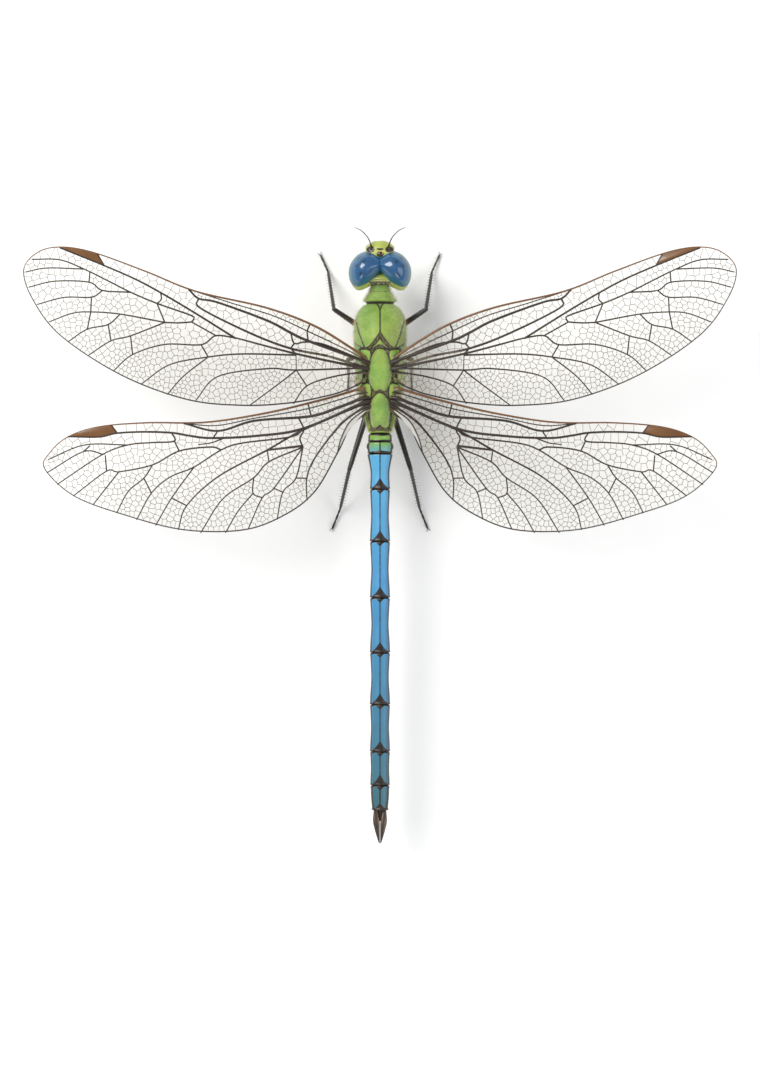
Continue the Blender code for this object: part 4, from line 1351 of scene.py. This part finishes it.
# %% Lower lip
LOWER_LIP = (
    (7.9, 1.1, 42.4, 44.7), (8.05, 1.6, 41.8, 45.3), (8.4, 1.92, 41.5, 45.55), (8.75, 1.9, 41.5, 45.5),
    (8.95, 1.7, 41.7, 45.3),
)
LOBE_SEAM, CLEFT_END = 0.75, 44


def lower_relief(x, z, y, front):
    return -0.14 * bump_line(np.abs(x) - LOBE_SEAM, 0.07) - 0.12 * bump_line(x, 0.05) * (y > CLEFT_END)


def lower_dark(x, y, z):
    """Two fine seams between the lobes, the cleft of the middle one, and the hinge under the throat."""
    cleft = np.where(y > CLEFT_END, 0.03 - np.abs(x), -1)
    return np.maximum.reduce([0.04 - np.abs(np.abs(x) - LOBE_SEAM), cleft, 42.1 - y])


bm, _ = upright(LOWER_LIP, lower_relief, columns=72, count=40)
paint(bm, dark=lower_dark, lip=1.0)
add_piece("lower_lip", bm, [face_shell], ["labium"])


# %% Horn and eggs
def grained_finish(name, pits, strength, *stops, mottle=900.0, **constants):
    """A finish whose colour is one ramp over the shell's mottle, with the shell's grain."""
    made, tree, shader = new_finish(name, **constants)
    feed(shader, {"Base Color": ramp(tree, grained(tree, shader, mottle, pits, strength), *stops)})
    return made


def egg(bm, centre, half, turn=Matrix(), around=32, over=20, material=0):
    """Adds an egg shape with the given half sizes, turned about its own centre."""
    place = Matrix.Translation(centre) @ turn @ Matrix.Diagonal((*half, 1))
    made = bmesh.ops.create_uvsphere(bm, u_segments=around, v_segments=over, radius=1, matrix=place)["verts"]
    for face in {face for vert in made for face in vert.link_faces}:
        face.material_index = material


# %% Jaws and simple eyes
horn = grained_finish(
    "dark_horn", 7000.0, 0.25, (0.3, (0.012, 0.008, 0.005)), (0.8, (0.06, 0.028, 0.012)), Roughness=0.3, Coat_Weight=0.4
)
bead = grained_finish(
    "simple_eye", 5000.0, 0.05, (0.3, (0.22, 0.1, 0.02)), (0.8, (0.42, 0.24, 0.07)), mottle=1200.0,
    Roughness=0.08, Coat_Weight=1.0, Coat_Roughness=0.03,
)
BEAD_FINISH = 1
bm = bmesh.new()
egg(bm, (0, 45.15, 14.3), (0.6, 0.45, 0.4))
egg(bm, (0, 45.52, 14.48), (0.17, 0.15, 0.15), around=16, over=12, material=BEAD_FINISH)
for side in (1, -1):
    egg(bm, (side * 0.42, 45.25, 14.55), (0.15, 0.16, 0.15), around=16, over=12, material=BEAD_FINISH)
    jaw = Matrix.Rotation(math.radians(side * 12), 4, "Z")
    egg(bm, (side * 1.85, 44.9, 9.35), (0.42, 1.05, 0.62), jaw, around=24, over=16)
face_out(bm)
add_piece("knob_and_jaws", bm, [horn, bead], ["frons"])

# %% The back of the head
SKULL_ROWS = (
    (40.4, 1.3, 9.9, 13.2), (40.65, 2.3, 9.4, 13.7), (41.1, 2.85, 9.0, 13.85), (41.7, 2.95, 8.9, 13.6),
    (42.3, 2.85, 8.9, 13.0), (43.2, 2.5, 8.9, 12.4), (44.4, 2.2, 8.95, 12.3),
)
RIM_SCALE, RIM_SHIFT, RIM_HALF_HEIGHT, RIM_GAP = 0.94, (-0.12, -0.6, -0.6), 2.6, 0.3


def skull_relief(x, y, z, rise):
    return 0.12 * bump_line(np.hypot(x / 1.3, y - 41.5), 0.5) * (rise > 0.6) - 0.1 * bump_line(y - 40.85, 0.08)


bm, skull_place = skin(
    np.linspace(SKULL_ROWS[0][0], SKULL_ROWS[-1][0], 60), oval_section(girth(SKULL_ROWS), 2.4), skull_relief, columns=96
)
paint(bm, dark=lambda x, y, z: np.maximum(40.82 - y, 0.05 - np.abs(y - 41.05)), lip=-1.0)
add_piece("skull", bm, [face_shell], ["head"])
for side, name in RIGHT_AND_LEFT:
    bm = cut_eye(side, RIM_GAP, RIM_SCALE, RIM_SHIFT, RIM_HALF_HEIGHT, columns=88, rows=56)
    paint(bm, dark=lambda x, y, z: 11.0 - z, lip=-1.0)
    add_piece(f"eye_rim_{name}", bm, [face_shell])

# %% Feelers
FEELER = (
    (1.35, 45.8, 13.95), (1.42, 46.4, 14.5), (1.62, 47.1, 14.95), (2.1, 47.95, 15.15), (3.0, 48.85, 15.15),
    (4.1, 49.4, 15.0),
)
FEELER_GIRTH = (  # shares of its length, and the radius there
    (0, 0.06, 0.1, 0.11, 0.17, 0.21, 0.22, 0.6, 0.95, 1),
    (0.26, 0.28, 0.23, 0.17, 0.2, 0.16, 0.105, 0.085, 0.055, 0.02),
)
for side, name in RIGHT_AND_LEFT:
    bm = bmesh.new()
    path = [(side * x, y, z) for x, y, z in evenly(FEELER, 0.06)]
    tube(bm, path, np.interp(np.linspace(0, 1, len(path)), *FEELER_GIRTH), sides=12)
    face_out(bm)
    add_piece(f"feeler_{name}", bm, [horn], [f"antenna_{name}"])

# %% [markdown]
# ## Legs
#
# A dragonfly can hardly walk: its legs make a basket of spines that catches midges in flight. Each is a
# short hip, a stout femur, a thinner tibia and a foot of three beads with two claws. Tapered tubes make
# the shafts, and each row of spines is one small cone set again and again along a shaft.

# %% Leg finish
leg_shell, tree, shader = new_finish("leg_shell", Roughness=0.34, Coat_Weight=0.35, Coat_Roughness=0.2)
mottle = grained(tree, shader, mottle=700.0, pits=6000.0, strength=0.35)
black = ramp(tree, mottle, (0.3, (0.006, 0.005, 0.004)), (0.8, (0.035, 0.02, 0.012)))
russet = ramp(tree, mottle, (0.3, (0.11, 0.035, 0.012)), (0.8, (0.24, 0.09, 0.03)))
colour = blend(tree, mask_of(tree, "reach", 0.8, 0.6, shift=3.6, below=True), black, russet)
feed(shader, {"Base Color": colour})

# %% Leg places
LEGS = {  # hip, start of the femur, knee, ankle and toe of the right legs
    "front": ((1.45, 32.8, 6.4), (2.05, 33.2, 5.1), (7.44, 36.7, 7.2), (8.48, 43.2, 0.75), (9.9, 46.35, 0.25)),
    "middle": ((1.6, 29.9, 6.3), (2.3, 29.7, 5.0), (5.15, 28.5, 8.8), (5.1, 26.2, 0.75), (5.3, 23.6, 0.25)),
    "hind": ((1.25, 23.4, 7.0), (1.35, 22.4, 5.6), (4.96, 10.8, 7.2), (6.49, 4.5, 0.75), (7.97, 0.8, 0.25)),
}

# %% Shafts and spines
SPINE_GAP = 0.62
BOTH_HANDS = (1, -1)


def shaft(bm, start, end, shares, radii, bow=0.0):
    """A tube from start to end whose radius follows shares of its length. bow lifts its middle."""
    run = np.linspace(0, 1, 26)
    path = [start.lerp(end, t) + Vector((0, 0, bow * math.sin(math.pi * t))) for t in run]
    tube(bm, path, np.interp(run, shares, radii), sides=14)


def spine(bm, root, toward, length, width):
    """A thin cone that stands on root."""
    turn = toward.to_track_quat("Z", "Y").to_matrix().to_4x4()
    place = Matrix.Translation(root + toward.normalized() * length / 2) @ turn
    bmesh.ops.create_cone(
        bm, cap_ends=True, segments=5, radius1=width, radius2=width * 0.12, depth=length, matrix=place
    )


def spines(bm, start, end, radius, length, outward):
    """Two rows of spines along the under side of a shaft."""
    axis = (end - start).normalized()
    across = axis.cross(Vector((0, 0, 1))).normalized() * outward
    down = axis.cross(across).normalized()
    if down.z > 0:
        down = -down
    count = int((end - start).length / SPINE_GAP)
    for share in (number / count for number in range(1, count)):
        for hand in BOTH_HANDS:
            lean = (hand * across * 0.8 + down * 0.6).normalized()
            size = length * (0.75 + 0.25 * math.sin(math.pi * share))
            spine(bm, start.lerp(end, share) + lean * radius * 0.75, lean + axis * 0.75, size, 0.05)


# %% Foot
BEADS = (0.0, 0.2, 0.48, 0.86)  # where the beads of a foot end
HOOK = ((0, 0, 0), (0.28, 0.14, 0.06), (0.52, 0.26, -0.02), (0.66, 0.3, -0.12))  # ahead, aside and up


def foot(bm, ankle, toe):
    """Three beads and a pair of hooked claws, with the sole on the ground."""
    for first, last in zip(BEADS, BEADS[1:]):
        shaft(bm, ankle.lerp(toe, first), ankle.lerp(toe, last), (0, 0.15, 0.7, 1), (0.11, 0.16, 0.19, 0.15))
    axis = (toe - ankle).normalized()
    across = axis.cross(Vector((0, 0, 1))).normalized()
    for hand in BOTH_HANDS:
        root = ankle.lerp(toe, 0.84)
        path = evenly([root + axis * a + across * hand * b + Vector((0, 0, c)) for a, b, c in HOOK], 0.07)
        tube(bm, path, np.linspace(0.09, 0.02, len(path)))
    for number in range(5):
        root = ankle.lerp(toe, 0.1 + 0.17 * number)
        for hand in BOTH_HANDS:
            spine(bm, root, across * hand * 0.8 + axis * 0.7 - Vector((0, 0, 0.1)), 0.34, 0.035)


# %% Leg pieces
for name, joints in LEGS.items():
    for side, side_name in RIGHT_AND_LEFT:
        hip, start, knee, ankle, toe = [Vector((side * x, y, z)) for x, y, z in joints]
        bm = bmesh.new()
        shaft(bm, hip, start, (0, 0.35, 0.8, 1), (0.92, 0.9, 0.68, 0.5))
        egg(bm, start, (0.52, 0.52, 0.52), around=20, over=14)
        shaft(bm, start, knee, (0, 0.08, 0.3, 0.8, 0.95, 1), (0.36, 0.46, 0.5, 0.4, 0.38, 0.32), bow=0.15)
        egg(bm, knee, (0.36, 0.36, 0.36), around=20, over=14)
        shaft(bm, knee, ankle, (0, 0.06, 0.5, 0.9, 1), (0.27, 0.31, 0.27, 0.25, 0.2))
        spines(bm, start.lerp(knee, 0.2), knee, 0.42, 0.5, side)
        spines(bm, knee.lerp(ankle, 0.06), ankle, 0.27, 0.85, side)
        foot(bm, ankle, toe)
        for vert in bm.verts:
            vert.co.z = max(vert.co.z, 0.0)
        face_out(bm)
        paint(bm, reach=lambda x, y, z: np.linalg.norm(np.column_stack((x, y, z)) - np.array(hip), axis=1))
        nodes = [f"{part}_{name}_{side_name}" for part in ("coxa", "femur", "tibia", "tarsus")]
        add_piece(f"leg_{name}_{side_name}", bm, [leg_shell], nodes, smooth=55)

# %% [markdown]
# ## Tail claspers
#
# The tail ends in two leaf-shaped claspers, with which the male holds his mate, and a shorter plate below
# and between them. A flattened tube makes the leaf, and a thin tube along its top makes the midrib.

# %% Leaf finish
leaf_horn, tree, shader = new_finish("leaf_horn", Roughness=0.34, Coat_Weight=0.3)
mottle = grained(tree, shader, mottle=900.0, pits=6000.0, strength=0.3)
edge = ramp(tree, mottle, (0.3, (0.01, 0.007, 0.005)), (0.8, (0.04, 0.02, 0.01)))
leaf = ramp(tree, mottle, (0.3, (0.05, 0.026, 0.012)), (0.8, (0.13, 0.075, 0.032)))
feed(shader, {"Base Color": blend(tree, mask_of(tree, "leaf", 0.04, 0.06), edge, leaf)})

# %% Claspers
tail_girth = abdomen_girth(np.array([JOINTS[-1]]))
TAIL_MIDDLE = float((tail_girth[1] + tail_girth[2])[0]) / 2
TAIL_START = JOINTS[-1] + 0.1
CLASPER_LENGTH, TAIL_PLATE_LENGTH = 5.48, 1.95
LEAF_GIRTH = (  # shares of a clasper's length, and its half width there
    (0, 0.12, 0.25, 0.4, 0.55, 0.7, 0.8, 0.9, 0.96, 1), (0.3, 0.36, 0.5, 0.54, 0.5, 0.42, 0.33, 0.22, 0.12, 0.04)
)
for side, name in RIGHT_AND_LEFT:
    bm = bmesh.new()
    run = np.linspace(0, 1, 40)
    path = np.column_stack((
        side * (0.72 - 0.62 * run**1.5), TAIL_START - CLASPER_LENGTH * run,
        TAIL_MIDDLE + 0.32 + 0.1 * np.sin(math.pi * run),
    ))
    widths = np.minimum(np.interp(run, *LEAF_GIRTH), np.abs(path[:, 0]) - 0.03)
    tube(bm, path, widths, sides=28, flat=0.42)
    rib = path[2:-3] + np.array((0, 0, 0.17))
    tube(bm, rib, np.interp(run[2:-3], (0, 0.4, 1), (0.08, 0.11, 0.04)))
    face_out(bm)

    def inside_leaf(x, y, z):
        middle, half = (np.interp(y, path[::-1, 1], line[::-1]) for line in (path[:, 0], widths))
        away = np.abs(x - middle)
        return np.minimum(half - 0.13 - away, away - 0.1)

    paint(bm, leaf=inside_leaf)
    add_piece(f"clasper_{name}", bm, [leaf_horn], [f"cercus_{name}"])

# %% Tail plate
bm = bmesh.new()
run = np.linspace(0, 1, 24)
path = np.column_stack((0 * run, TAIL_START - TAIL_PLATE_LENGTH * run, TAIL_MIDDLE - 0.5 + 0.05 * run))
tube(bm, path, np.interp(run, (0, 0.5, 0.85, 1), (0.62, 0.5, 0.3, 0.12)), sides=18, flat=0.4)
face_out(bm)
paint(bm, leaf=lambda x, y, z: 0.25 - np.abs(x))
add_piece("tail_plate", bm, [leaf_horn], ["epiproct"])

# %% [markdown]
# ## Wing roots
#
# A wing turns on small hard plates in a soft hinge. Each root here gets a shoulder plate that carries the
# costa, a broad one for the stout veins and a third behind, so that the veins don't end in the air.

# %% Root finish
root_horn = grained_finish(
    "root_horn", 6000.0, 0.3, (0.3, (0.045, 0.03, 0.01)), (0.6, (0.11, 0.085, 0.024)), (0.85, (0.18, 0.13, 0.04)),
    Roughness=0.38, Coat_Weight=0.3,
)

# %% Root pieces
ROOTS = {  # the path of each plate in the wing's own frame, from the body outwards, and how wide it is
    "forewing": (
        ((-0.9, 0.75, 0.0), (0.1, 1.3, 0.12), (1.5, 1.85, 0.12), 0.4),
        ((-0.9, 0.35, 0.0), (0.2, 0.7, 0.1), (1.7, 0.95, 0.16), 0.34),
        ((-0.9, -0.25, 0.0), (0.2, -0.3, 0.0), (1.8, -0.3, 0.0), 0.36),
        ((-0.8, -0.9, 0.0), (0.1, -1.1, 0.0), (1.4, -1.7, -0.05), 0.3),
        ((-0.9, -1.8, -0.1), (-0.3, -2.3, -0.1), (0.6, -3.3, -0.1), 0.24),
    ),
    "hindwing": (
        ((-0.9, 1.2, 0.0), (0.1, 1.75, 0.12), (1.5, 1.85, 0.12), 0.4),
        ((-0.9, 0.6, 0.0), (0.2, 0.5, 0.1), (1.7, 0.2, 0.16), 0.36),
        ((-0.9, -0.2, 0.0), (0.2, -0.4, 0.05), (1.8, -0.75, 0.1), 0.4),
        ((-0.8, -0.8, 0.0), (0.2, -1.1, 0.0), (1.5, -1.7, -0.05), 0.3),
        ((-0.9, -1.3, -0.1), (-0.2, -1.9, -0.1), (0.9, -2.7, -0.1), 0.24),
    ),
}
ROOT_GIRTH = (0, 0.15, 0.4, 0.7, 1), (0.5, 0.9, 1.0, 0.55, 0.3)
for kind, plates in ROOTS.items():
    bm = bmesh.new()
    for *path, width in plates:
        path = evenly(path, 0.08)
        tube(bm, path, np.interp(np.linspace(0, 1, len(path)), *ROOT_GIRTH) * width, sides=14, flat=0.7)
    face_out(bm)
    for side, name in RIGHT_AND_LEFT:
        add_piece(f"{kind}_root_{name}", set_wing(bm, WINGS[kind], side), [root_horn])

# %% [markdown]
# ## Down and bristles
#
# Fine pale down covers the thorax and the neck, and short dark bristles stand on the face. Thousands of
# separate hairs would be slow to set by hand, so one thin cone is copied to every root as one joined mesh.
# Each root sits on its skin, and each hair also keeps a tiny patch of the skin's unwrapped map.

# %% One hair
hair_bm = bmesh.new()
bmesh.ops.create_cone(
    hair_bm, cap_ends=True, segments=3, radius1=1, radius2=0.15, depth=1, matrix=Matrix.Translation((0, 0, 0.5))
)
HAIR_POINTS = np.array([v.co for v in hair_bm.verts])
HAIR_FACES = [[v.index for v in face.verts] for face in hair_bm.faces]
hair_bm.free()
print("a hair has", len(HAIR_FACES), "faces")

# %% Hair helper
PATCH = 0.003  # how wide each hair's patch on the map is
SKIN_STEP = 1e-3  # how far apart the points are that give a skin's slope
ROOT_DEPTH = 0.03


def grow(name, place, wanted, area, length, width, lean, finish, seed, ahead=(0, -1, 0), bare=None):
    """Sets hairs on a skin. area gives the limits of u and v, and lean how flat they lie.

    bare says which roots stay without a hair. Hairs that point up are shorter than those on the flanks.
    """
    dice = np.random.default_rng(seed)
    u, v = dice.uniform(*area[:2], wanted * 3), dice.uniform(*area[2:], wanted * 3)
    root, east, north = place(u, v), place(u + SKIN_STEP, v), place(u, np.minimum(v + SKIN_STEP, 1))
    normal = np.cross(east - root, north - root)
    size = np.linalg.norm(normal, axis=1)
    chosen = size > dice.uniform(0, 1, len(size)) * np.percentile(size, 90)
    if bare:
        chosen &= ~bare(*root.T)
    kept = np.flatnonzero(chosen)[:wanted]
    u, v, root, normal = u[kept], v[kept], root[kept], unit(normal[kept])
    normal *= np.sign((normal * (root - root.mean(axis=0))).sum(axis=1))[:, None]
    up = unit(normal * (1 - lean) + np.array(ahead) * lean + dice.normal(0, 0.18, root.shape))
    side = unit(np.cross(up, dice.normal(0, 1, root.shape)))
    tall = (length * dice.uniform(0.6, 1.15, len(kept)) * (1 - 0.45 * np.clip(normal[:, 2], 0, 1)))[:, None, None]
    points = (
        (root - normal * ROOT_DEPTH)[:, None]
        + side[:, None] * HAIR_POINTS[None, :, :1] * width
        + np.cross(up, side)[:, None] * HAIR_POINTS[None, :, 1:2] * width
        + up[:, None] * HAIR_POINTS[None, :, 2:] * tall
    )
    starts = range(0, len(kept) * len(HAIR_POINTS), len(HAIR_POINTS))
    faces = [[corner + start for corner in face] for start in starts for face in HAIR_FACES]
    mesh = bpy.data.meshes.new(name)
    mesh.from_pydata((points.reshape(-1, 3) * MM).tolist(), [], faces)
    local = (HAIR_POINTS[[corner for face in HAIR_FACES for corner in face], :2] * 0.5 + 0.5) * PATCH
    base = np.column_stack((u % 1, np.clip(v, 0, 1))) * (1 - PATCH)
    mesh.uv_layers.new(name="OFBake").data.foreach_set("uv", (base[:, None] + local[None]).astype(np.float32).ravel())
    add_mesh(name, mesh, [finish], [], smooth=80)


def between_wings(x, y, z):
    """True in the sunken floor around the wing roots, which is bare but for the domed plates."""
    flat = folded(x, y)
    return (z > 12.6) & (y < 30.4) & ((plates_at(x, y) < 0.08) | (np.abs(x) > 1.95)) & (into_ring(flat, WELL) > -1.2)


# %% Hairs
down = cloudy_finish("pale_down", 900.0, 2.0, (0.3, (0.42, 0.4, 0.22)), (0.7, (0.7, 0.66, 0.46)), Roughness=0.55)
bristle = cloudy_finish(
    "dark_bristle", 900.0, 2.0, (0.3, (0.012, 0.009, 0.006)), (0.7, (0.05, 0.035, 0.02)), Roughness=0.4
)
grow("thorax_down", thorax_place, 14000, (0.0, 1.0, 0.02, 0.98), 0.62, 0.01, 0.5, down, 5, bare=between_wings)
grow("neck_down", neck_place, 1500, (0.2, 0.8, 0.12, 0.8), 0.5, 0.01, 0.2, down, 6, ahead=(0, 1, 0))
grow("nape_down", skull_place, 500, (0.0, 1.0, 0.04, 0.16), 0.5, 0.01, 0.6, down, 7)
grow(
    "face_bristles", face_place, 900, (0.28, 0.72, 0.05, 0.9), 0.34, 0.009, 0.35, bristle, 20, ahead=(0, 1, -0.3),
)
